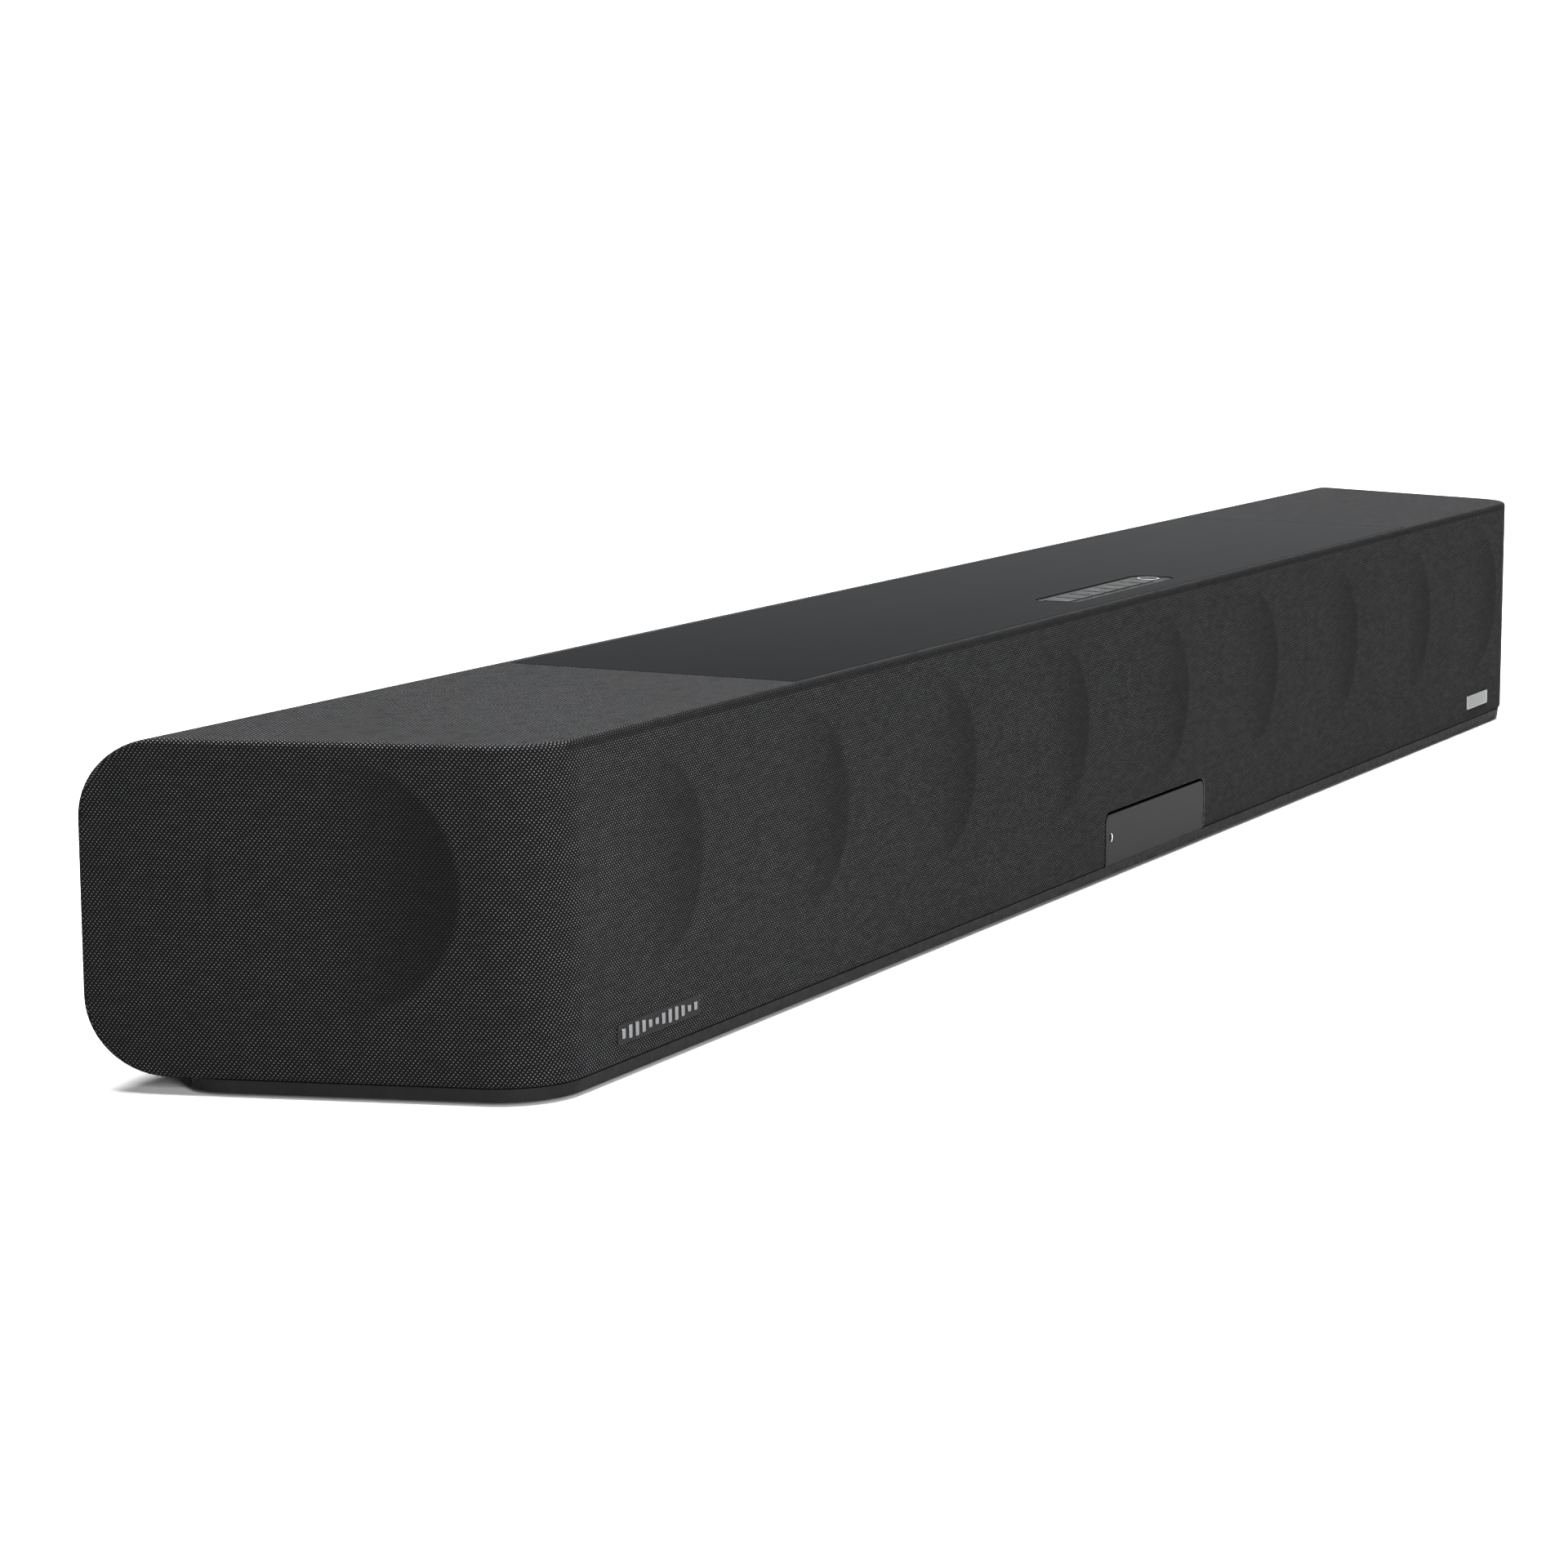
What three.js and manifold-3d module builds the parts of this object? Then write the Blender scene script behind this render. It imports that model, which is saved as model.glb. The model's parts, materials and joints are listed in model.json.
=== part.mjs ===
// A long multi-driver soundbar: a rounded, cloth-covered cabinet with a metal top plate,
// a row of nine front drivers, a tweeter in each raked end and an up-firing driver near each end.
// Millimetres. Origin on the floor under the middle of the bar, +X to the right of someone
// facing the bar, the front facing -Y, +Z up.
import * as THREE from "three";
import { mergeVertices } from "three/addons/utils/BufferGeometryUtils.js";
import Module from "manifold-3d";

const wasm = await Module();
wasm.setup();

// ---- Driving dimensions -------------------------------------------------------------------

const LENGTH = 1265; // along the back, the longest edge
const HEIGHT = 135; // floor to the top plate
const REAR_Y = 85.5;
const BADGE_PROUD = 0.9; // how far the badges stand off the cloth
const FRONT_Y = -REAR_Y + BADGE_PROUD; // outer face of the front cloth
const FOOT_HEIGHT = 1.6;
const BASE_TOP = 6.8; // top of the visible base strip
const SKIRT_Z = 7; // lower edge of the cloth
const END_RAKE = 0.33; // how much each end runs inwards per unit of depth, towards the front
const FRONT_CORNER_R = 35; // vertical front corners
const REAR_CORNER_R = 30.5; // long rear edges, top and bottom
const SEAM_X = 377.5; // where the metal top plate gives way to cloth
const PLATE_FRONT_Y = -82; // the cloth turns over the top edge as far as this

const CLOTH = 1; // skin thickness
const FRAME_OUT = 1.3; // grille frame: inset of its outer and inner faces
const FRAME_IN = 4.3;
const CABINET_OUT = 5; // cabinet: inset of its outer and inner faces
const CABINET_IN = 11;
const BAFFLE = 10;
const BAFFLE_GAP = 0.3; // between the baffle and the cabinet behind it
const COVER = 3; // rear cover thickness
const GAP = 0.3; // running gap between neighbouring pieces

const DRIVER_PITCH = 125.3;
const DRIVER_Z = 80.5;
const OPENING_R = 42.8;
const WOOFER_STEPS = [-4, -2, -1, 1, 2, 4]; // places in the row of nine, counted from the middle
const FRONT_TWEETER_STEPS = [-3, 0, 3];
const END_DRIVER_Y = -11.7;
const HEIGHT_DRIVER_X = 480;
const HEIGHT_DRIVER_Y = 6;
const HEIGHT_DRIVER_SCALE = 0.88;
const FLANGE_R = 48;
const FLANGE_DEPTH = 3.8;
const BASKET_HOLE_R = 46.4;

const WINDOW = { half: 63.5, low: SKIRT_Z + 0.2, high: 33, r: 5, thick: 1.6 };
const INDICATOR = { x: -55.8, z: 20.6, r: 2.3 };
const PANEL = { half: 63.6, y: -56.5, depth: 21.6, r: 5.5, top: HEIGHT - 0.4, low: 132 };
const KEY = { pitch: 15.5, width: 13.3, depth: 13.8, flangeW: 14.9, flangeD: 16, low: 129.9 };
const RING_BUTTON_R = 5.8;
const BADGE_LEFT = { x0: -528, x1: -464.5, z0: 14.5, z1: 22.3 };
const BADGE_RIGHT = { x0: 488.5, x1: 528, z0: 14.2, z1: 22.4 };

const BAY = { half: 149, front: 45, rear: 82, low: SKIRT_Z + 5.1, high: 61.5, wall: 2.5 };
const SOCKET_FACE = BAY.front + BAY.wall + 1;
const FOOT = { r: 16, x: 470, yFront: -58, yRear: 34 };
const SCREW = { x: 200, yFront: -58, yRear: 34, headR: 3.4, shankR: 1.6 };

const DRIVER_FACETS = 14;
const HOLE_FACETS = 20;
const CORNER_FACETS = 7; // per quarter turn of a large corner
const SMALL_CORNER_FACETS = 3;
const RAKE_ANGLE = Math.atan(END_RAKE);
const RAKE_STRETCH = Math.hypot(1, END_RAKE);

// ---- Solids: three.js shapes in and out of manifold-3d -----------------------------------

// A closed three.js geometry as a manifold-3d solid.
function solid(geometry) {
  const bare = geometry.clone();
  bare.deleteAttribute("normal");
  bare.deleteAttribute("uv");
  const merged = mergeVertices(bare, 1e-4);
  const index = merged.index.array;
  const triangles = [];
  for (let i = 0; i < index.length; i += 3) {
    const [a, b, c] = index.slice(i, i + 3);
    if (a !== b && b !== c && a !== c) triangles.push(a, b, c);
  }
  const mesh = new wasm.Mesh({
    numProp: 3,
    vertProperties: merged.attributes.position.array,
    triVerts: new Uint32Array(triangles),
  });
  return new wasm.Manifold(mesh);
}

// A manifold-3d solid as a three.js geometry.
function geometryOf(made) {
  const mesh = made.getMesh();
  const geometry = new THREE.BufferGeometry();
  geometry.setAttribute("position", new THREE.BufferAttribute(mesh.vertProperties, 3));
  geometry.setIndex(new THREE.BufferAttribute(mesh.triVerts, 1));
  geometry.computeVertexNormals();
  return geometry;
}

function box(x0, x1, y0, y1, z0, z1) {
  const geometry = new THREE.BoxGeometry(x1 - x0, y1 - y0, z1 - z0);
  return solid(geometry.translate((x0 + x1) / 2, (y0 + y1) / 2, (z0 + z1) / 2));
}

// A cylinder whose axis runs along the unit vector `along`, centred at (x, y, z).
function cylinder(r, length, along, x, y, z, facets = HOLE_FACETS) {
  const geometry = new THREE.CylinderGeometry(r, r, length, facets);
  const turn = new THREE.Quaternion().setFromUnitVectors(new THREE.Vector3(0, 1, 0), along);
  return solid(geometry.applyQuaternion(turn).translate(x, y, z));
}

const ALONG_Y = new THREE.Vector3(0, 1, 0);
const ALONG_Z = new THREE.Vector3(0, 0, 1);

// A shape drawn in X and Y, raised from z0 to z1.
function raised(shape, z0, z1, curveSegments = CORNER_FACETS) {
  const options = { depth: z1 - z0, bevelEnabled: false, curveSegments };
  return solid(new THREE.ExtrudeGeometry(shape, options).translate(0, 0, z0));
}

// A shape drawn in Y and Z, run along X from -half to half.
function alongX(shape, half) {
  const options = { depth: 2 * half, bevelEnabled: false, curveSegments: CORNER_FACETS };
  const geometry = new THREE.ExtrudeGeometry(shape, options).translate(0, 0, -half);
  const axes = new THREE.Matrix4().makeBasis(
    new THREE.Vector3(0, 1, 0),
    new THREE.Vector3(0, 0, 1),
    new THREE.Vector3(1, 0, 0),
  );
  return solid(geometry.applyMatrix4(axes));
}

// A shape drawn in X and Z, run backwards from y0 to y1.
function facingFront(shape, y0, y1) {
  const curveSegments = SMALL_CORNER_FACETS;
  const options = { depth: y1 - y0, bevelEnabled: false, curveSegments };
  const geometry = new THREE.ExtrudeGeometry(shape, options);
  return solid(geometry.rotateX(Math.PI / 2).translate(0, y1, 0));
}

// A closed outline of [radius, height] pairs turned about the Y axis, running counterclockwise.
function turned(outline, facets = DRIVER_FACETS) {
  const points = outline.map(([r, h]) => new THREE.Vector2(r, h));
  if (outline[0][0] > 0) points.push(points[0].clone());
  return solid(new THREE.LatheGeometry(points, facets));
}

function roundedRectangle(x0, x1, y0, y1, r, lowR = r) {
  const shape = new THREE.Shape();
  shape.moveTo(x0 + lowR, y0);
  shape.lineTo(x1 - lowR, y0);
  if (lowR > 0) shape.absarc(x1 - lowR, y0 + lowR, lowR, -Math.PI / 2, 0);
  shape.lineTo(x1, y1 - r);
  shape.absarc(x1 - r, y1 - r, r, 0, Math.PI / 2);
  shape.lineTo(x0 + r, y1);
  shape.absarc(x0 + r, y1 - r, r, Math.PI / 2, Math.PI);
  shape.lineTo(x0, y0 + lowR);
  if (lowR > 0) shape.absarc(x0 + lowR, y0 + lowR, lowR, Math.PI, 1.5 * Math.PI);
  return shape;
}

// ---- The body's form ---------------------------------------------------------------------

// Half the bar's length at depth y, with the ends inset by `inset` square to themselves.
function halfLength(y, inset = 0) {
  return LENGTH / 2 - END_RAKE * (REAR_Y - y) - inset * RAKE_STRETCH;
}

const CORNER_Y = FRONT_Y + FRONT_CORNER_R;
const CORNER_X = halfLength(CORNER_Y, FRONT_CORNER_R);

// The plan: raked ends and rounded front corners, inset all round.
function planShape(inset, rearY = REAR_Y - inset) {
  const r = FRONT_CORNER_R - inset;
  const rearX = halfLength(rearY, inset);
  const shape = new THREE.Shape();
  shape.moveTo(-CORNER_X, FRONT_Y + inset);
  shape.lineTo(CORNER_X, FRONT_Y + inset);
  shape.absarc(CORNER_X, CORNER_Y, r, -Math.PI / 2, -RAKE_ANGLE);
  shape.lineTo(rearX, rearY);
  shape.lineTo(-rearX, rearY);
  shape.absarc(-CORNER_X, CORNER_Y, r, Math.PI + RAKE_ANGLE, 1.5 * Math.PI);
  return shape;
}

// The cross-section: flat top and bottom, rounded rear edges, inset all round.
function sectionShape(inset) {
  const beyond = FRONT_Y - 20;
  const top = HEIGHT - inset;
  const low = SKIRT_Z + inset;
  const r = REAR_CORNER_R - inset;
  const rear = REAR_Y - inset;
  const shape = new THREE.Shape();
  shape.moveTo(beyond, low);
  shape.lineTo(rear - r, low);
  shape.absarc(rear - r, low + r, r, -Math.PI / 2, 0);
  shape.lineTo(rear, top - r);
  shape.absarc(rear - r, top - r, r, 0, Math.PI / 2);
  shape.lineTo(beyond, top);
  return shape;
}

// The whole body inset by `inset`: the plan raised, cut to the cross-section.
function body(inset) {
  const column = raised(planShape(inset), 0, HEIGHT + 10);
  return column.intersect(alongX(sectionShape(inset), LENGTH));
}

const FLAT_REAR = REAR_Y - REAR_CORNER_R; // the flat top and bottom end here
const ROUND_TOP_Z = HEIGHT - REAR_CORNER_R; // the flat back lies between these
const ROUND_LOW_Z = SKIRT_Z + REAR_CORNER_R;

// A wall that follows the front, the ends and the ends' top, open below, behind and in the middle
// of the top: the form that the cloth and its frame share.
function wrap(outer, inner) {
  const beyond = LENGTH;
  const innerFloor = raised(planShape(inner), 0, SKIRT_Z + inner + 0.01);
  const middleTop = box(-SEAM_X, SEAM_X, PLATE_FRONT_Y, beyond, HEIGHT - 10, HEIGHT + 10);
  const middleRear = box(-SEAM_X, SEAM_X, FLAT_REAR - 0.5, beyond, 0, HEIGHT + 10);
  const back = box(-beyond, beyond, REAR_Y - inner - 0.1, beyond, ROUND_LOW_Z, ROUND_TOP_Z);
  return body(outer)
    .subtract(body(inner))
    .subtract(innerFloor.intersect(box(-beyond, beyond, -beyond, FLAT_REAR, 0, HEIGHT)))
    .subtract(middleTop)
    .subtract(middleRear)
    .subtract(back);
}

// ---- Where the drivers sit ---------------------------------------------------------------

const stepX = (step) => step * DRIVER_PITCH;
const FRONT_STEPS = [...WOOFER_STEPS, ...FRONT_TWEETER_STEPS];

// The outward direction of an end, side -1 for the left and 1 for the right.
function endNormal(side) {
  return new THREE.Vector3(side * Math.cos(RAKE_ANGLE), -Math.sin(RAKE_ANGLE), 0);
}

// A point on the end driver's axis, `inset` behind the end's outer face.
function endPoint(side, inset) {
  const face = new THREE.Vector3(side * halfLength(END_DRIVER_Y), END_DRIVER_Y, DRIVER_Z);
  return face.addScaledVector(endNormal(side), -inset);
}

function endHole(side, r, from, to) {
  const p = endPoint(side, (from + to) / 2);
  return cylinder(r, to - from, endNormal(side), p.x, p.y, p.z);
}

function topHole(side, r, z0, z1) {
  return cylinder(r, z1 - z0, ALONG_Z, side * HEIGHT_DRIVER_X, HEIGHT_DRIVER_Y, (z0 + z1) / 2);
}

function frontHole(step, r, y0, y1) {
  return cylinder(r, y1 - y0, ALONG_Y, stepX(step), (y0 + y1) / 2, DRIVER_Z);
}

function windowShape(grow) {
  const w = WINDOW.half + grow;
  return roundedRectangle(-w, w, 0, WINDOW.high + grow, WINDOW.r + grow, 0);
}

// ---- Casing --------------------------------------------------------------------------------

function grilleCloth() {
  const notch = facingFront(windowShape(GAP * 2), FRONT_Y - 5, FRONT_Y + 5);
  return wrap(0, CLOTH).subtract(notch);
}

function grilleFrame() {
  let made = wrap(FRAME_OUT, FRAME_IN);
  for (const step of FRONT_STEPS) {
    made = made.subtract(frontHole(step, OPENING_R, FRONT_Y, FRONT_Y + FRAME_IN + 1));
  }
  for (const side of [-1, 1]) {
    made = made.subtract(endHole(side, OPENING_R, 0, FRAME_IN + 1));
    made = made.subtract(topHole(side, OPENING_R * HEIGHT_DRIVER_SCALE, HEIGHT - 8, HEIGHT));
  }
  return made.subtract(facingFront(windowShape(GAP * 3), FRONT_Y - 5, FRONT_Y + 8));
}

const BAFFLE_FRONT = FRONT_Y + CABINET_OUT;
const BAFFLE_BACK = BAFFLE_FRONT + BAFFLE;

function frontBaffle() {
  let made = body(CABINET_OUT).intersect(box(-LENGTH, LENGTH, -REAR_Y, BAFFLE_BACK, 0, HEIGHT));
  for (const step of FRONT_STEPS) {
    made = made.subtract(frontHole(step, BASKET_HOLE_R, BAFFLE_FRONT - 1, BAFFLE_BACK + 1));
    made = made.subtract(
      frontHole(step, FLANGE_R + 2 * GAP, BAFFLE_FRONT - 1, BAFFLE_FRONT + FLANGE_DEPTH),
    );
  }
  return made;
}

// The cabinet behind the baffle: top, back, bottom and end walls round one open chamber.
function cabinet() {
  const front = BAFFLE_BACK + BAFFLE_GAP;
  const plateau = SEAM_X - 1.5;
  const panelPocket = box(-66, 66, front - 1, PANEL.y + 13.5, 125.5, HEIGHT);
  const bayPocket = box(-BAY.half - 3, BAY.half + 3, BAY.front - 3, REAR_Y, 0, BAY.high + 3);
  let made = body(CABINET_OUT)
    .add(box(-plateau, plateau, front, FLAT_REAR - 1, HEIGHT - 8, HEIGHT - 2.3))
    .subtract(body(CABINET_IN))
    .intersect(box(-LENGTH, LENGTH, front, REAR_Y, 0, HEIGHT))
    .subtract(panelPocket)
    .subtract(bayPocket);
  for (const side of [-1, 1]) {
    made = made
      .subtract(endHole(side, BASKET_HOLE_R, 0, CABINET_IN + 2))
      .subtract(endHole(side, FLANGE_R + 2 * GAP, 0, CABINET_OUT + FLANGE_DEPTH))
      .subtract(topHole(side, BASKET_HOLE_R * HEIGHT_DRIVER_SCALE, 100, HEIGHT))
      .subtract(topHole(side, FLANGE_R * HEIGHT_DRIVER_SCALE + 2 * GAP, 126.4, HEIGHT));
    for (const y of [SCREW.yFront, SCREW.yRear]) {
      made = made.subtract(cylinder(SCREW.shankR + GAP, 30, ALONG_Z, side * SCREW.x, y, 20, 8));
    }
  }
  return made;
}

function rearCover() {
  const inner = alongX(sectionShape(COVER), LENGTH);
  const column = raised(planShape(FRAME_OUT, REAR_Y), 0, HEIGHT + 10);
  let made = alongX(sectionShape(0), LENGTH)
    .subtract(inner)
    .intersect(column)
    .subtract(box(-LENGTH, LENGTH, -REAR_Y - 50, FLAT_REAR, 0, HEIGHT + 10));
  for (const side of [-1, 1]) {
    const [x0, x1] = side < 0 ? [-LENGTH, -SEAM_X + GAP] : [SEAM_X - GAP, LENGTH];
    made = made
      .subtract(box(x0, x1, 0, REAR_Y + 1, ROUND_TOP_Z - GAP, HEIGHT + 10))
      .subtract(box(x0, x1, 0, REAR_Y + 1, 0, ROUND_LOW_Z + GAP));
  }
  return made.subtract(box(-BAY.half - GAP, BAY.half + GAP, 0, REAR_Y + 1, 0, BAY.high + GAP));
}

function basePlate() {
  const strip = planShape(1, FLAT_REAR - 0.5);
  const platform = planShape(6.5, FLAT_REAR - 3);
  let made = raised(strip, FOOT_HEIGHT, BASE_TOP).add(raised(platform, BASE_TOP - 1, SKIRT_Z + CABINET_OUT - GAP));
  for (const x of [-SCREW.x, SCREW.x]) {
    for (const y of [SCREW.yFront, SCREW.yRear]) {
      made = made
        .subtract(cylinder(SCREW.headR + GAP, 8, ALONG_Z, x, y, FOOT_HEIGHT, 16))
        .subtract(cylinder(SCREW.shankR + GAP, 40, ALONG_Z, x, y, 10, 8));
    }
  }
  return made;
}

function topPlate() {
  const edge = SEAM_X - 0.4;
  const y0 = PLATE_FRONT_Y + GAP;
  const plate = box(-edge, edge, y0, FLAT_REAR - GAP, HEIGHT - 2, HEIGHT);
  const d = PANEL.depth / 2 + 0.4;
  const w = PANEL.half + 0.4;
  const cut = roundedRectangle(-w, w, PANEL.y - d, PANEL.y + d, PANEL.r + 0.4);
  return plate.subtract(raised(cut, HEIGHT - 5, HEIGHT + 5, SMALL_CORNER_FACETS));
}

function foot() {
  const outline = [
    [0, 0],
    [FOOT.r - 0.8, 0],
    [FOOT.r, 0.8],
    [FOOT.r, FOOT_HEIGHT],
    [0, FOOT_HEIGHT],
  ];
  return solid(geometryOf(turned(outline, HOLE_FACETS)).rotateX(Math.PI / 2));
}

function caseScrew() {
  const { headR, shankR } = SCREW;
  const outline = [
    [0, 0.8],
    [1.2, 0],
    [headR, 0],
    [headR, 2],
    [shankR, 2],
    [shankR, 10],
    [0, 11.5],
  ];
  return solid(geometryOf(turned(outline, 12)).rotateX(Math.PI / 2));
}

// ---- Controls, display and badges ---------------------------------------------------------

const keyX = (place) => (place - 3.5) * KEY.pitch;
const KEY_NAMES = ["power", "source", "wireless", "mute", "mode", "volume_down", "volume_up"];
const RING_X = keyX(7);

function controlPanel() {
  const d = PANEL.depth / 2;
  const outline = roundedRectangle(-PANEL.half, PANEL.half, PANEL.y - d, PANEL.y + d, PANEL.r);
  let made = raised(outline, PANEL.low, PANEL.top, SMALL_CORNER_FACETS);
  KEY_NAMES.forEach((_, place) => {
    const x = keyX(place);
    const w = KEY.width / 2 + GAP;
    const h = KEY.depth / 2 + GAP;
    made = made.subtract(box(x - w, x + w, PANEL.y - h, PANEL.y + h, 120, HEIGHT + 5));
  });
  return made.subtract(cylinder(RING_BUTTON_R + GAP, 20, ALONG_Z, RING_X, PANEL.y, PANEL.low, 24));
}

// A key at the origin of its own place: cap, retaining flange and switch stem.
function key() {
  const w = KEY.width / 2;
  const h = KEY.depth / 2;
  const fw = KEY.flangeW / 2;
  const fh = KEY.flangeD / 2;
  return box(-w, w, -h, h, 0, HEIGHT - KEY.low)
    .add(box(-fw, fw, -fh, fh, 0, PANEL.low - KEY.low - GAP))
    .add(box(-1.5, 1.5, -1.5, 1.5, -1.5, 1));
}

// The round button: a dished cap, its flange and stem.
function ringButton() {
  const top = HEIGHT - KEY.low;
  const flange = PANEL.low - KEY.low - GAP;
  const r = RING_BUTTON_R;
  const outline = [
    [0, -1.5],
    [1.5, -1.5],
    [1.5, 0],
    [r + 1.1, 0],
    [r + 1.1, flange],
    [r, flange],
    [r, top],
    [r - 1, top],
    [r - 1.8, top - 0.9],
    [0, top - 1.2],
  ];
  return solid(geometryOf(turned(outline, HOLE_FACETS)).rotateX(Math.PI / 2));
}

function keypadBoard() {
  return box(-62, 62, PANEL.y - 10.5, PANEL.y + 10.5, 125.8, 127.4);
}

function displayWindow() {
  const { half, low, high, r, thick } = WINDOW;
  const outline = roundedRectangle(-half, half, low, high, r, 0);
  const pane = facingFront(outline, FRONT_Y, FRONT_Y + thick);
  const eye = INDICATOR.r + 0.2;
  return pane.subtract(cylinder(eye, 10, ALONG_Y, INDICATOR.x, FRONT_Y, INDICATOR.z, 20));
}

function displayModule() {
  const back = BAFFLE_FRONT - GAP;
  return box(-48, 48, FRONT_Y + WINDOW.thick + GAP, back, 14, 30.5);
}

function indicatorLens() {
  const { r } = INDICATOR;
  const outline = [
    [0, -1.5],
    [r, -1.5],
    [r, -0.5],
    [r * 0.6, -0.1],
    [0, 0],
  ];
  return turned(outline, 20);
}

function badge({ x0, x1, z0, z1 }) {
  return facingFront(roundedRectangle(x0, x1, z0, z1, 1.2), -REAR_Y, FRONT_Y - 0.05);
}

// ---- Drivers, each drawn about +Y as its outward axis, from the baffle's face at height 0 ----

// Flange, surround, basket, magnet with its voice-coil groove, and pole.
function basket(scale) {
  const outline = [
    [0, -50],
    [34, -50],
    [34, -27],
    [37.5, -24.5],
    [45.6, -3.5],
    [48, -3.5],
    [48, 0],
    [44.5, 0],
    [43.8, -2.2],
    [36, -2.2],
    [36, -3.4],
    [42.8, -3.4],
    [35.5, -22.5],
    [15, -25.5],
    [15, -44],
    [11.5, -44],
    [11.5, -25.5],
    [0, -25.5],
  ];
  return turned(outline.map(([r, h]) => [r * scale, h * scale]));
}

// Paper cone, dust cap and voice-coil former.
function cone(scale) {
  const outline = [
    [0, -14.7],
    [8, -16.2],
    [12.6, -19.6],
    [12.6, -34],
    [13.6, -34],
    [13.8, -20.4],
    [35.6, -4.2],
    [35.6, -3],
    [13.8, -19],
    [8, -15],
    [0, -13.5],
  ];
  return turned(outline.map(([r, h]) => [r * scale, h * scale]));
}

// Faceplate with a shallow waveguide, dome and magnet.
function tweeter() {
  const outline = [
    [0, -36],
    [27, -36],
    [27, -14],
    [46, -3.5],
    [48, -3.5],
    [48, 0],
    [43, 0],
    [30, -3],
    [19, -8],
    [14, -12],
    [12.5, -12],
    [8, -7],
    [0, -5],
  ];
  return turned(outline);
}

// ---- Electronics and sockets ---------------------------------------------------------------

// A circuit board lying flat on four posts, from x0 to x1, with parts given as [x, y, w, d, h].
function flatBoard(x0, x1, y0, y1, parts) {
  const floor = SKIRT_Z + CABINET_IN + GAP;
  const under = 24;
  const top = under + 1.6;
  let made = box(x0, x1, y0, y1, under, top);
  for (const x of [x0 + 6, x1 - 6]) {
    for (const y of [y0 + 6, y1 - 6]) made = made.add(box(x - 3, x + 3, y - 3, y + 3, floor, top));
  }
  for (const [x, y, w, d, h] of parts) {
    made = made.add(box(x - w / 2, x + w / 2, y - d / 2, y + d / 2, top - 0.5, top + h));
  }
  return made;
}

function amplifierBoard() {
  const chokes = [-1.5, -0.5, 0.5, 1.5].map((k) => [260 + k * 38, 46, 20, 16, 14]);
  const chips = [-1, 0, 1].map((k) => [260 + k * 42, 14, 14, 14, 5]);
  return flatBoard(175, 345, -10, 60, [...chokes, ...chips]);
}

function heatSink() {
  let made = box(200, 320, 0, 30, 31, 35);
  for (let x = 202; x < 320; x += 14) made = made.add(box(x, x + 2.4, 0, 30, 34, 62));
  return made;
}

function powerSupplyBoard() {
  const parts = [
    [-300, 28, 42, 46, 34],
    [-245, 12, 24, 24, 36],
    [-215, 12, 24, 24, 36],
    [-230, 42, 40, 14, 28],
    [-190, 25, 12, 60, 12],
  ];
  return flatBoard(-345, -175, -8, 60, parts);
}

const BOARD_BACK = 35;

function mainBoard() {
  const z = BAY.low + 26;
  return box(-95, 125, BOARD_BACK - 2, BOARD_BACK, z - 18, z + 18)
    .add(box(10, 40, BOARD_BACK - 6, BOARD_BACK - 1, z - 14, z + 14))
    .add(box(70, 88, BOARD_BACK - 5, BOARD_BACK - 1, z - 9, z + 9))
    .add(box(-70, -30, BOARD_BACK - 9, BOARD_BACK - 1, z - 6, z + 6));
}

// The socket blocks in the bay's front wall: each block's middle and outer size, and the size,
// depth, number and spacing of the holes that plugs go into.
const SOCKETS = [
  { name: "mains_inlet", x: -118, w: 30, h: 22, holeW: 22, holeH: 14, deep: 14, back: 27 },
  { name: "video_sockets", x: -26, w: 94, h: 10, holeW: 14.8, holeH: 5.6, deep: 9, count: 4, pitch: 24 },
  { name: "optical_socket", x: 46, w: 12, h: 12, holeW: 8, holeH: 8, deep: 8 },
  { name: "ethernet_socket", x: 80, w: 17, h: 15, holeW: 12, holeH: 9, deep: 10 },
];
const SOCKET_Z = 38;

function socket({ x, w, h, holeW, holeH, deep, count = 1, pitch = 0, back = BOARD_BACK + GAP }) {
  const [z0, z1] = [SOCKET_Z - holeH / 2, SOCKET_Z + holeH / 2];
  const y = SOCKET_FACE - deep;
  let made = box(x - w / 2, x + w / 2, back, SOCKET_FACE, SOCKET_Z - h / 2, SOCKET_Z + h / 2);
  for (let i = 0; i < count; i += 1) {
    const middle = x + (i - (count - 1) / 2) * pitch;
    made = made.subtract(box(middle - holeW / 2, middle + holeW / 2, y, SOCKET_FACE + 1, z0, z1));
  }
  return made;
}

// The recess in the back: a front wall that the sockets come through, a roof and two sides.
function connectorBay() {
  const { half, front, rear, low, high, wall } = BAY;
  let made = box(-half, half, front, front + wall, low, high)
    .add(box(-half, half, front, rear, high - wall, high))
    .add(box(-half, -half + wall, front, rear, low, high))
    .add(box(half - wall, half, front, rear, low, high));
  for (const { x, w, h } of SOCKETS) {
    const [halfW, halfH] = [w / 2 + GAP, h / 2 + GAP];
    const [z0, z1] = [SOCKET_Z - halfH, SOCKET_Z + halfH];
    made = made.subtract(box(x - halfW, x + halfW, front - 1, front + wall + 1, z0, z1));
  }
  return made;
}

// ---- Materials -----------------------------------------------------------------------------

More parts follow.
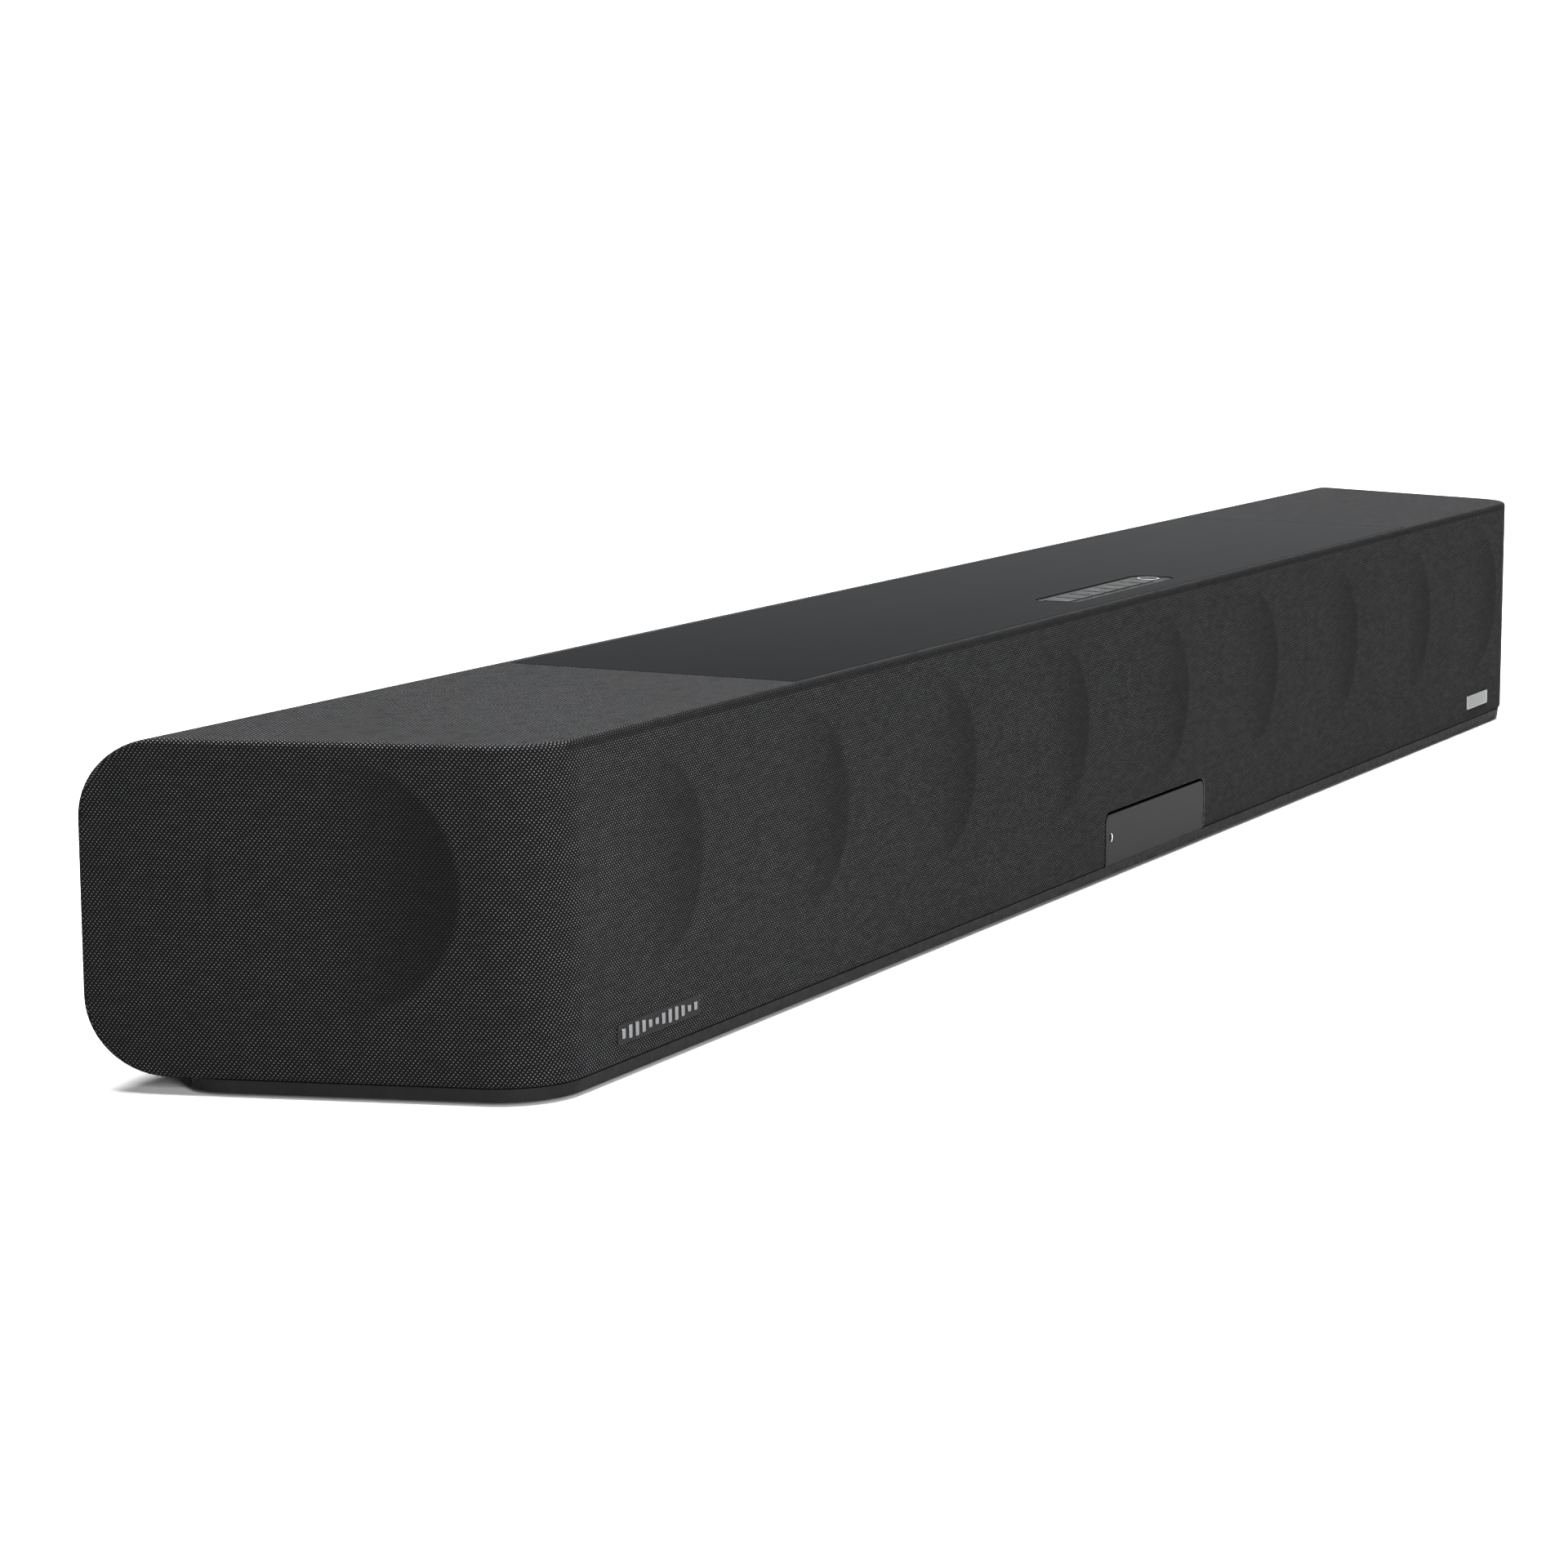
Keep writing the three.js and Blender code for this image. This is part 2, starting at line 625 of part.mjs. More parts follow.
const finish = (color, roughness, metalness = 0) => ({ color, roughness, metalness });
const FINISH = {
  cloth: finish(0x2b2b2c, 0.95),
  plastic: finish(0x262627, 0.6),
  inner: finish(0x1c1c1d, 0.7),
  topMetal: finish(0x4d5052, 0.42, 0.6),
  panel: finish(0x5f6163, 0.5, 0.3),
  key: finish(0x626466, 0.5, 0.2),
  window: finish(0x4c4c4e, 0.25),
  lens: finish(0xf2f4f6, 0.3),
  badge: finish(0xbfc0c2, 0.3, 0.8),
  rubber: finish(0x161616, 0.9),
  steel: finish(0x8a8c8e, 0.4, 0.9),
  paper: finish(0x232325, 0.85),
  board: finish(0x1f4a33, 0.6),
  alloy: finish(0x9a9c9e, 0.45, 0.8),
};

const root = new THREE.Group();

function place(name, made, look, parent = root) {
  const mesh = new THREE.Mesh(geometryOf(made), new THREE.MeshStandardMaterial(FINISH[look]));
  mesh.name = name;
  parent.add(mesh);
  return mesh;
}

// ---- Assembly ------------------------------------------------------------------------------

place("base_plate", basePlate(), "plastic");
place("cabinet", cabinet(), "inner");
place("front_baffle", frontBaffle(), "inner");
place("grille_frame", grilleFrame(), "inner");
place("grille_cloth", grilleCloth(), "cloth");
place("rear_cover", rearCover(), "plastic");
place("top_plate", topPlate(), "topMetal");

for (const [side, x] of [["left", -1], ["right", 1]]) {
  for (const [end, y] of [["front", FOOT.yFront], ["rear", FOOT.yRear]]) {
    place(`foot_${end}_${side}`, foot(), "rubber").position.set(x * FOOT.x, y, 0);
    const screw = place(`case_screw_${end}_${side}`, caseScrew(), "steel");
    screw.position.set(x * SCREW.x, y, FOOT_HEIGHT + 0.8);
  }
}

place("control_panel", controlPanel(), "panel");
place("keypad_board", keypadBoard(), "board");
KEY_NAMES.forEach((name, i) => {
  place(`key_${name}`, key(), "key").position.set(keyX(i), PANEL.y, KEY.low);
});
place("ring_button", ringButton(), "key").position.set(RING_X, PANEL.y, KEY.low);

place("display_window", displayWindow(), "window");
place("display_module", displayModule(), "inner");
const lens = place("indicator_lens", indicatorLens(), "lens");
lens.position.set(INDICATOR.x, FRONT_Y, INDICATOR.z);
lens.rotation.z = Math.PI;
place("badge_left", badge(BADGE_LEFT), "badge");
place("badge_right", badge(BADGE_RIGHT), "badge");

// Stands a driver's own +Y axis along the front's outward direction.
function onFront(mesh, x) {
  mesh.position.set(x, BAFFLE_FRONT, DRIVER_Z);
  mesh.rotation.z = Math.PI;
}

WOOFER_STEPS.forEach((step, i) => {
  onFront(place(`woofer_${i + 1}`, basket(1), "steel"), stepX(step));
  onFront(place(`woofer_cone_${i + 1}`, cone(1), "paper"), stepX(step));
});
["left", "centre", "right"].forEach((name, i) => {
  onFront(place(`front_tweeter_${name}`, tweeter(), "inner"), stepX(FRONT_TWEETER_STEPS[i]));
});

for (const [name, side] of [["left", -1], ["right", 1]]) {
  const end = place(`side_tweeter_${name}`, tweeter(), "inner");
  end.position.copy(endPoint(side, CABINET_OUT));
  end.rotation.z = -side * (Math.PI / 2 + RAKE_ANGLE);

  const up = new THREE.Group();
  up.position.set(side * HEIGHT_DRIVER_X, HEIGHT_DRIVER_Y, HEIGHT - CABINET_OUT);
  up.rotation.x = Math.PI / 2;
  place(`height_driver_${name}`, basket(HEIGHT_DRIVER_SCALE), "steel", up);
  place(`height_cone_${name}`, cone(HEIGHT_DRIVER_SCALE), "paper", up);
  root.add(up);
}

place("main_board", mainBoard(), "board");
place("amplifier_board", amplifierBoard(), "board");
place("power_supply_board", powerSupplyBoard(), "board");
place("heat_sink", heatSink(), "alloy");
place("connector_bay", connectorBay(), "plastic");
for (const item of SOCKETS) place(item.name, socket(item), "inner");

export default root;
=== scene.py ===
import json
import math

import bmesh
import bpy
from mathutils import Euler, Matrix, Vector


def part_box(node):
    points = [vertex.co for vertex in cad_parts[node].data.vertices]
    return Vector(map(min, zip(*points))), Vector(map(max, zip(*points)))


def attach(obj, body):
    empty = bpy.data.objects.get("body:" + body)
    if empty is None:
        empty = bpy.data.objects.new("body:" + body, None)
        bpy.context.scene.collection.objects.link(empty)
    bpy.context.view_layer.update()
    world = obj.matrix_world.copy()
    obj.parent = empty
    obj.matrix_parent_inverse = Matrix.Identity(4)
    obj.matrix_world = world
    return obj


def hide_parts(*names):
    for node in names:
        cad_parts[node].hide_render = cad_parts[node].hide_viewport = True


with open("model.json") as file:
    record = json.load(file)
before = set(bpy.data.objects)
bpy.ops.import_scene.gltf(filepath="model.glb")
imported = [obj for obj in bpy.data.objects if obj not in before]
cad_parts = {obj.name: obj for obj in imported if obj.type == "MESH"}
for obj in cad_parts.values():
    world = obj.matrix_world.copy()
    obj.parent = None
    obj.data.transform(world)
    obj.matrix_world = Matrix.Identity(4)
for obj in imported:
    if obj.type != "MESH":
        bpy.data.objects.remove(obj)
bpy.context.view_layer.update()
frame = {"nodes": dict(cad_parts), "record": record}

# A long soundbar in dark knitted cloth with a brushed top plate. Metres, in the CAD's frame:
# +X along the bar, the front facing -Y, +Z up.

ROOT = "soundbar"


def span(node):
    """The two corners of a CAD part's box."""
    return tuple(Vector(corner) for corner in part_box(node))


def middle(node):
    low, high = span(node)
    return (low + high) / 2


LO, HI = span("grille_cloth")


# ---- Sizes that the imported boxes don't tell -----------------------------------------------

END_RAKE = 0.33  # how much each end runs inwards per unit of depth, towards the front
FRONT_CORNER_R = 0.035
REAR_CORNER_R = 0.0305
SEAM_X = 0.3775  # where the top plate gives way to cloth
PLATE_FRONT_Y = -0.082
CLOTH_EDGE_R = 0.0022  # the cloth's turn over the upper edge
CLOTH_THICK = 0.0008
CLOTH_JOIN = 0.0003  # the cloth's edge stands off the top plate by this
CREASE_SHADE_DEPTH = 0.0042  # from the top down to the painted shade line under the front edge
OPENING_R = 0.0428  # the round openings behind the front's cloth
END_OPENING_R = 0.05  # and the larger patch of painted light and shade over the one behind an end
END_OPENING_SHIFT = 0.0022  # from the end tweeter's centre to its painted patch, along +Y
SIDE_OPENINGS = 4  # on each side of the middle one
END_X = 0.584  # outward of this the cloth belongs to an end
FRAME_INSET = 0.0013  # the back's side bands stand in from the cloth
BAY_WALL = 0.0025
DRIVER_DEPTH = 0.05  # of a full-size driver, flange to magnet
BOARD_THICK = 0.0016
BOARD_LEVEL = 0.024  # underside of the two lying boards
KEY_PRESS = 0.0006  # how far a key or the ring button goes down
TRAY_CORNER = 0.022  # the tray's rear corners are rounded off below the cloth's turn

RAKE_ANGLE = math.atan(END_RAKE)
RAKE_STRETCH = math.hypot(1, END_RAKE)
FLAT_REAR = HI.y - REAR_CORNER_R  # the flat top ends here and the rear rounding starts
CORNER_Y = LO.y + FRONT_CORNER_R  # the front corners' centres
CORNER_X = HI.x - END_RAKE * (HI.y - CORNER_Y) - FRONT_CORNER_R * RAKE_STRETCH

# ---- The knit ------------------------------------------------------------------------------

WEAVE_ACROSS = 0.0018  # spacing of the knit's stitches along a row
WEAVE_UP = 0.00094  # spacing of the rows
WEAVE_LEAN = 0.18  # the stitches lean sideways by this much per unit of height
WEAVE_DRIFT = 0.0003  # and wander by up to half of this
CLOTH_THREAD = (0.1, 0.1016, 0.1062)
CLOTH_HOLE = (0.0008, 0.0008, 0.0008)
FRONT_PAINTED_SHADE = 0.68  # painted shade: the knit on the walls is darker than on the top
END_PAINTED_SHADE = 0.54  # and more painted shade on the ends
CLOTH_FUZZ = 0.3  # how much the threads vary in brightness
DISH_PAINTED_HIGHLIGHT = 0.12  # painted highlight: how much an opening gains on its side towards -X
FRONT_DISH_PAINTED_SHADE = 0.5  # painted shade: and how much it loses on its other side, on the front
END_DISH_PAINTED_SHADE = 0.78  # and on the ends

# ---- Camera and light ----------------------------------------------------------------------

CAMERA_PLACE = (-1.75246, -0.80896, 0.34201)
CAMERA_YAW = 1.08126  # turned from +Y towards +X
CAMERA_PITCH = -0.15886
CAMERA_ROLL = -0.00429
CAMERA_LENS = 88.45
CEILING_STRENGTH = 14
CEILING_SPREAD = math.radians(50)
FLOOR_HALF = 9.0
WALL_FALL = (0.05, 0.095, 1.3, 0.02)  # the surround's fade: two heights, then the strength at each


def camera():
    data = bpy.data.cameras.new("camera")
    data.lens = CAMERA_LENS
    data.sensor_width = 36
    data.clip_end = 60
    made = bpy.data.objects.new("camera", data)
    turn = Euler((math.pi / 2 + CAMERA_PITCH, 0, -CAMERA_YAW)).to_matrix()
    made.matrix_world = (
        Matrix.Translation(CAMERA_PLACE) @ turn.to_4x4() @ Matrix.Rotation(CAMERA_ROLL, 4, "Z")
    )
    bpy.context.collection.objects.link(made)
    bpy.context.scene.camera = made


def softbox(name, place, target, size, power):
    data = bpy.data.lights.new(name, "AREA")
    data.shape = "RECTANGLE"
    data.size, data.size_y = size
    data.energy = power
    made = bpy.data.objects.new(name, data)
    aim = Vector(target) - Vector(place)
    made.location = place
    made.rotation_euler = aim.to_track_quat("-Z", "Y").to_euler()
    bpy.context.collection.objects.link(made)


def surround():
    """A white band behind the floor's edge, with dark studio walls above the top of the view."""
    world = bpy.data.worlds.new("surround")
    world.use_nodes = True
    tree = world.node_tree
    place = tree.nodes.new("ShaderNodeTexCoord")
    parts = tree.nodes.new("ShaderNodeSeparateXYZ")
    tree.links.new(place.outputs["Generated"], parts.inputs[0])
    fall = tree.nodes.new("ShaderNodeMapRange")
    fall.interpolation_type = "SMOOTHSTEP"
    tree.links.new(parts.outputs["Z"], fall.inputs["Value"])
    for socket, value in zip(("From Min", "From Max", "To Min", "To Max"), WALL_FALL):
        fall.inputs[socket].default_value = value
    tree.links.new(fall.outputs[0], tree.nodes["Background"].inputs["Strength"])
    tree.nodes["Background"].inputs["Color"].default_value = (1, 1, 1, 1)
    bpy.context.scene.world = world


def ceiling(tilt_x, tilt_y, strength, width):
    """A broad soft light from straight above, leaning towards +X and -Y by the tilts."""
    data = bpy.data.lights.new("ceiling", "SUN")
    data.energy = strength
    data.angle = width
    made = bpy.data.objects.new("ceiling", data)
    made.rotation_euler = Vector((-tilt_x, tilt_y, -1)).to_track_quat("-Z", "Y").to_euler()
    bpy.context.collection.objects.link(made)


def stage():
    """A white floor that meets a white surround, lit from above like a product set."""
    surround()
    mesh = bpy.data.meshes.new("floor")
    half = FLOOR_HALF
    corners = [(-half, -half, 0), (half, -half, 0), (half, half, 0), (-half, half, 0)]
    mesh.from_pydata(corners, [], [(0, 1, 2, 3)])
    floor = bpy.data.objects.new("floor", mesh)
    bpy.context.collection.objects.link(floor)
    paper = Look("floor_paper", (0.5, 0.5, 0.5), 0.95, Specular_IOR_Level=0.1)
    paper.speckle("Base Color", 40, (0.49, 0.49, 0.49), (0.51, 0.51, 0.51))
    mesh.materials.append(paper.material)
    ceiling(0.02, 0.05, CEILING_STRENGTH, CEILING_SPREAD)
    softbox("corner_light", (-1.15, -0.8, 0.3), (-0.57, -0.06, 0.06), (0.3, 0.4), 24)
    softbox("far_light", (3.4, 1.7, 0.5), (0.5, 0, 0.13), (2.4, 0.5), 8)
    bpy.context.scene.view_settings.view_transform = "Standard"


# ---- Materials -------------------------------------------------------------------------------


class Look:
    """A principled material and short calls for the nodes that feed it."""

    def __init__(self, name, colour, roughness, metallic=0.0, **sockets):
        self.material = bpy.data.materials.new(name)
        self.material.use_nodes = True
        self.material.diffuse_color = (*colour, 1)
        self.tree = self.material.node_tree
        self.shader = self.tree.nodes["Principled BSDF"]
        self.set("Base Color", (*colour, 1))
        self.set("Roughness", roughness)
        self.set("Metallic", metallic)
        for socket, value in sockets.items():
            self.set(socket.replace("_", " "), value)
        self.place = self.node("ShaderNodeTexCoord", out="Object")

    def set(self, socket, value):
        self.feed(self.shader.inputs[socket], value)

    def feed(self, socket, value):
        if isinstance(value, bpy.types.NodeSocket):
            self.tree.links.new(value, socket)
        elif value is not None:
            socket.default_value = value

    def node(self, kind, *inputs, out=0, **settings):
        made = self.tree.nodes.new(kind)
        for key, value in settings.items():
            setattr(made, key, value)
        for i, value in enumerate(inputs):
            self.feed(made.inputs[i], value)
        return made.outputs[out]

    def math(self, operation, *values):
        return self.node("ShaderNodeMath", *values, operation=operation)

    def axis(self, vector, name):
        parts = self.tree.nodes.new("ShaderNodeSeparateXYZ")
        self.feed(parts.inputs[0], vector)
        return parts.outputs[name]

    def scaled(self, vector, scale):
        made = self.tree.nodes.new("ShaderNodeMapping")
        self.feed(made.inputs["Vector"], vector)
        made.inputs["Scale"].default_value = scale
        return made.outputs[0]

    def noise(self, scale, detail=3, vector=None):
        made = self.tree.nodes.new("ShaderNodeTexNoise")
        self.feed(made.inputs["Vector"], vector or self.place)
        made.inputs["Scale"].default_value = scale
        made.inputs["Detail"].default_value = detail
        return made.outputs["Fac"]

    def cells(self, scale, feature="F1"):
        made = self.tree.nodes.new("ShaderNodeTexVoronoi")
        made.feature = feature
        self.feed(made.inputs["Vector"], self.place)
        made.inputs["Scale"].default_value = scale
        return made.outputs["Distance"]

    def between(self, value, low, high, to_low=0.0, to_high=1.0, smooth=False):
        """The value mapped from low..high to to_low..to_high, held inside."""
        made = self.tree.nodes.new("ShaderNodeMapRange")
        made.interpolation_type = "SMOOTHSTEP" if smooth else "LINEAR"
        self.feed(made.inputs["Value"], value)
        for socket, number in zip(
            ("From Min", "From Max", "To Min", "To Max"), (low, high, to_low, to_high)
        ):
            self.feed(made.inputs[socket], number)
        return made.outputs[0]

    def blend(self, factor, low, high):
        made = self.tree.nodes.new("ShaderNodeMix")
        made.data_type = "RGBA"
        self.feed(made.inputs[0], factor)
        for socket, colour in ((made.inputs[6], low), (made.inputs[7], high)):
            self.feed(socket, (*colour, 1) if isinstance(colour, tuple) else colour)
        return made.outputs[2]

    def bump(self, height, distance, strength=1.0):
        made = self.tree.nodes.new("ShaderNodeBump")
        made.inputs["Strength"].default_value = strength
        made.inputs["Distance"].default_value = distance
        self.feed(made.inputs["Height"], height)
        self.set("Normal", made.outputs[0])

    def speckle(self, socket, scale, low, high, detail=3):
        """A noise that runs a colour or number between two values."""
        fac = self.between(self.noise(scale, detail), 0.3, 0.7)
        if isinstance(low, tuple):
            self.set(socket, self.blend(fac, low, high))
        else:
            self.set(socket, self.between(fac, 0, 1, low, high))


def shade(colour, factor):
    return tuple(channel * factor for channel in colour)


def moulded(name, colour, roughness=0.55, grain=2600, depth=0.00004, **sockets):
    """Injection-moulded plastic with a fine eroded texture and slight mottling."""
    look = Look(name, colour, roughness, **sockets)
    look.speckle("Base Color", 90, shade(colour, 0.86), shade(colour, 1.16))
    look.speckle("Roughness", 240, roughness - 0.06, roughness + 0.07)
    grains = look.cells(grain)
    look.bump(look.math("ADD", grains, look.noise(grain * 0.4)), depth)
    return look.material


def brushed(name, colour, roughness, along=(6, 900, 900), streak=0.14, metallic=1.0, **sockets):
    """Metal with fine parallel brush lines, under a dark film where it is less than metallic."""
    vary = 0.4 * streak
    look = Look(name, colour, roughness, metallic, **sockets)
    lines = look.noise(1, 6, look.scaled(look.place, along))
    broad = look.noise(1, 2, look.scaled(look.place, shade(along, 0.12)))
    both = look.math("ADD", look.math("MULTIPLY", lines, 0.7), look.math("MULTIPLY", broad, 0.3))
    spread = look.between(both, 0.35, 0.65)
    low, high = shade(colour, 1 - streak), shade(colour, 1 + streak)
    look.set("Base Color", look.blend(spread, low, high))
    look.set("Roughness", look.between(both, 0.35, 0.65, roughness - vary, roughness + vary))
    look.bump(lines, 0.00007 * streak, 0.5)
    return look.material


def plated(name, colour, roughness=0.3):
    """Plated or stamped metal with faint scuffs and a slight tarnish."""
    look = Look(name, colour, roughness, metallic=1.0)
    look.speckle("Base Color", 500, shade(colour, 0.8), shade(colour, 1.1), 6)
    look.speckle("Roughness", 900, roughness - 0.08, roughness + 0.14, 6)
    look.bump(look.noise(2500, 4), 0.00001, 0.6)
    return look.material


def painted_steel(name, colour, roughness=0.45):
    """Black paint over pressed steel: fine orange peel and a little dust."""
    look = Look(name, colour, roughness, Coat_Weight=0.15, Coat_Roughness=0.35)
    look.speckle("Base Color", 140, colour, shade(colour, 1.5), 5)
    look.speckle("Roughness", 300, roughness - 0.08, roughness + 0.12)
    look.bump(look.noise(1200, 3), 0.00003)
    return look.material


def rubber(name, colour):
    look = Look(name, colour, 0.85, Specular_IOR_Level=0.3)
    look.speckle("Base Color", 700, colour, shade(colour, 1.8), 5)
    look.bump(look.math("ADD", look.noise(3000, 2), look.cells(900)), 0.00004)
    return look.material


def coated_paper(name, colour):
    """Pressed loudspeaker paper: long fibres under a thin satin coating."""
    look = Look(name, colour, 0.6, Coat_Weight=0.2, Coat_Roughness=0.5)
    fibres = look.noise(380, 8)
    look.set("Base Color", look.blend(look.between(fibres, 0.35, 0.7), colour, shade(colour, 2.2)))
    look.bump(look.math("ADD", fibres, look.noise(1500, 4)), 0.00009)
    return look.material


def circuit_board(name, mask):
    """Solder mask with the copper tracks showing through as lighter lines."""
    look = Look(name, mask, 0.38, Coat_Weight=0.4, Coat_Roughness=0.2)
    tracks = look.between(look.cells(170, "DISTANCE_TO_EDGE"), 0.02, 0.06, 1, 0)
    pads = look.between(look.cells(420), 0.12, 0.2, 1, 0)
    copper = look.math("MAXIMUM", tracks, look.math("MULTIPLY", pads, 0.7))
    tinted = look.blend(look.noise(60), shade(mask, 0.8), shade(mask, 1.2))
    look.set("Base Color", look.blend(copper, tinted, shade(mask, 2.4)))
    look.bump(copper, 0.00004)
    return look.material


def satin_glaze(name, colour, roughness, top_light_lift=1.12, **sockets):
    """Tinted satin plastic with painted light: a little lighter towards its upper edge."""
    look = Look(name, colour, roughness, **sockets)
    low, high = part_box("display_window")
    rise = look.between(look.axis(look.place, "Z"), low[2], high[2])
    painted_top_light = look.math("ADD", rise, look.math("MULTIPLY", look.noise(45), 0.15))
    look.set("Base Color", look.blend(painted_top_light, colour, shade(colour, top_light_lift)))
    look.speckle("Roughness", 1800, roughness - 0.03, roughness + 0.04, 5)
    look.bump(look.noise(5000, 2), 0.000004)
    return look.material


def knitted_cloth(name):
    """Black knit with light grey threads. Its rows follow the piece's "weave" attribute, which
    holds the distances along and up the cloth. Painted light and shade lie over it: patches over
    the drivers' openings, darker walls and ends than top, and a dark line under the front edge."""
    look = Look(
        name, (0.02, 0.02, 0.02), 0.95, Specular_IOR_Level=0.08, Sheen_Weight=0.004, Sheen_Roughness=0.4
    )
    weave = look.tree.nodes.new("ShaderNodeAttribute")
    weave.attribute_name = "weave"
    drift = look.math("MULTIPLY", look.math("SUBTRACT", look.noise(20, 1), 0.5), WEAVE_DRIFT)
    along = look.math("ADD", look.axis(weave.outputs["Vector"], "X"), drift)
    up = look.axis(weave.outputs["Vector"], "Y")
    leaning = look.math("ADD", along, look.math("MULTIPLY", up, WEAVE_LEAN))
    across = look.math("COSINE", look.math("MULTIPLY", leaning, math.tau / WEAVE_ACROSS))
    rows = look.math("COSINE", look.math("MULTIPLY", up, math.pi / WEAVE_UP))
    stitch = look.math("MULTIPLY", look.math("MULTIPLY", across, rows), 0.75)
    rib = look.math("MULTIPLY", look.math("ABSOLUTE", rows), 0.25)
    uneven = look.math("MULTIPLY", look.math("SUBTRACT", look.noise(1500, 2), 0.5), 0.12)
    height = look.math("ADD", look.math("ADD", stitch, rib), uneven)
    thread = look.between(height, 0.48, 0.86, smooth=True)
    mottle = look.between(look.noise(12, 4), 0.3, 0.7, 0.94, 1.06)
    fibres = look.noise(1, 2, look.scaled(look.place, (150, 150, 420)))
    fuzz = look.between(fibres, 0.3, 0.7, 1 - CLOTH_FUZZ, 1 + CLOTH_FUZZ)
    mottle = look.math("MULTIPLY", mottle, fuzz)
    # light holds the threads' own mottle and fuzz, times the painted light and shade over the openings
    light = look.math("MULTIPLY", look.math("ADD", painted_opening_shading(look), 1), mottle)
    # painted shade: the walls below the top are darkened, the ends more, as if less lit than the top
    end = look.between(look.math("ABSOLUTE", look.axis(look.place, "X")), CORNER_X, END_X)
    wall = look.between(look.axis(look.place, "Z"), HI.z - 0.002, HI.z - 0.001, 1, 0)
    light = look.math("MULTIPLY", light, look.between(wall, 0, 1, 1, FRONT_PAINTED_SHADE))
    light = look.math("MULTIPLY", light, look.between(look.math("MULTIPLY", end, wall), 0, 1, 1, END_PAINTED_SHADE))
    light = look.math("MULTIPLY", light, painted_crease_shade(look))
    bright = look.blend(light, (0, 0, 0), CLOTH_THREAD)
    look.set("Base Color", look.blend(thread, CLOTH_HOLE, bright))
    look.bump(thread, 0.00025, 0.6)
    return look.material


def painted_opening_shading(look):
    """Painted light and shade over the openings behind the front and the ends: each one shows as a
    shallow round patch, a painted highlight on the side towards -X with a thin rim of painted
    shade, and painted shade on the other."""
    x, y, z = (look.axis(look.place, name) for name in "XYZ")
    pitch = middle("woofer_4").x  # the opening next to the middle one
    number = look.math("ROUND", look.math("DIVIDE", x, pitch))
    held = look.math("MINIMUM", look.math("MAXIMUM", number, -SIDE_OPENINGS), SIDE_OPENINGS)
    from_x = look.math("SUBTRACT", x, look.math("MULTIPLY", held, pitch))
    from_z = look.math("SUBTRACT", z, middle("woofer_4").z)
    end_y = middle("side_tweeter_left").y + END_OPENING_SHIFT
    from_y = look.math("DIVIDE", look.math("SUBTRACT", end_y, y), math.cos(RAKE_ANGLE))
    on_front = look.between(y, LO.y + 0.0008, LO.y + 0.0012, 1, 0)
    on_end = look.between(look.math("ABSOLUTE", x), END_X - 0.001, END_X)
    front = look.math("MULTIPLY", painted_dish_shading(look, from_x, from_z, OPENING_R, FRONT_DISH_PAINTED_SHADE), on_front)
    end = look.math("MULTIPLY", painted_dish_shading(look, from_y, from_z, END_OPENING_R, END_DISH_PAINTED_SHADE), on_end)
    return look.math("ADD", front, end)


def painted_dish_shading(look, a, b, radius, deep):
    squares = look.math("ADD", look.math("MULTIPLY", a, a), look.math("MULTIPLY", b, b))
    inside = look.between(look.math("SQRT", squares), radius - 0.0035, radius + 0.0005, 1, 0, True)
    # painted light and shade: lit is a painted highlight towards -X, dark and rim are painted shade
    lit = look.between(a, -0.9 * radius, -0.1 * radius, DISH_PAINTED_HIGHLIGHT, 0, True)
    dark = look.between(a, -0.2 * radius, 0.9 * radius, -0.1 * deep, -deep, True)
    rim = look.between(a, -radius, -0.86 * radius, -deep, 0, True)
    shading = look.math("ADD", look.math("ADD", lit, dark), rim)
    return look.math("MULTIPLY", inside, shading)


def painted_crease_shade(look):
    """Painted shade: a dark line just under the front's upper edge, where the cloth turns over."""
    y, z = look.axis(look.place, "Y"), look.axis(look.place, "Z")
    under = look.between(z, HI.z - CREASE_SHADE_DEPTH, HI.z - 0.75 * CREASE_SHADE_DEPTH, 0, 1, True)
    at_front = look.between(y, LO.y + 0.0009, LO.y + 0.0014, 1, 0)
    return look.between(look.math("MULTIPLY", under, at_front), 0, 1, 1, 0.35)


# ---- Mesh helpers --------------------------------------------------------------------------


def piece(name, bm, looks, nodes=(), body=ROOT, bevel=0.0, segments=3):
    """A named object from a bmesh: shaded smooth, bevelled on its sharp edges, riding on a body."""
    bmesh.ops.recalc_face_normals(bm, faces=bm.faces)
    mesh = bpy.data.meshes.new(name)
    bm.to_mesh(mesh)
    bm.free()
    made = bpy.data.objects.new(name, mesh)
    bpy.context.collection.objects.link(made)
    for look in looks if isinstance(looks, (list, tuple)) else [looks]:
        mesh.materials.append(look)
    mesh.polygons.foreach_set("use_smooth", [True] * len(mesh.polygons))
    if bevel:
        soften(made, bevel, segments, angle=32)
    else:
        made.modifiers.new("normals", "WEIGHTED_NORMAL")
    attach(made, body)
    if nodes:
        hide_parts(*([nodes] if isinstance(nodes, str) else nodes))
    return made


def looks_of(*names):
    return [MATERIALS[name] for name in names]


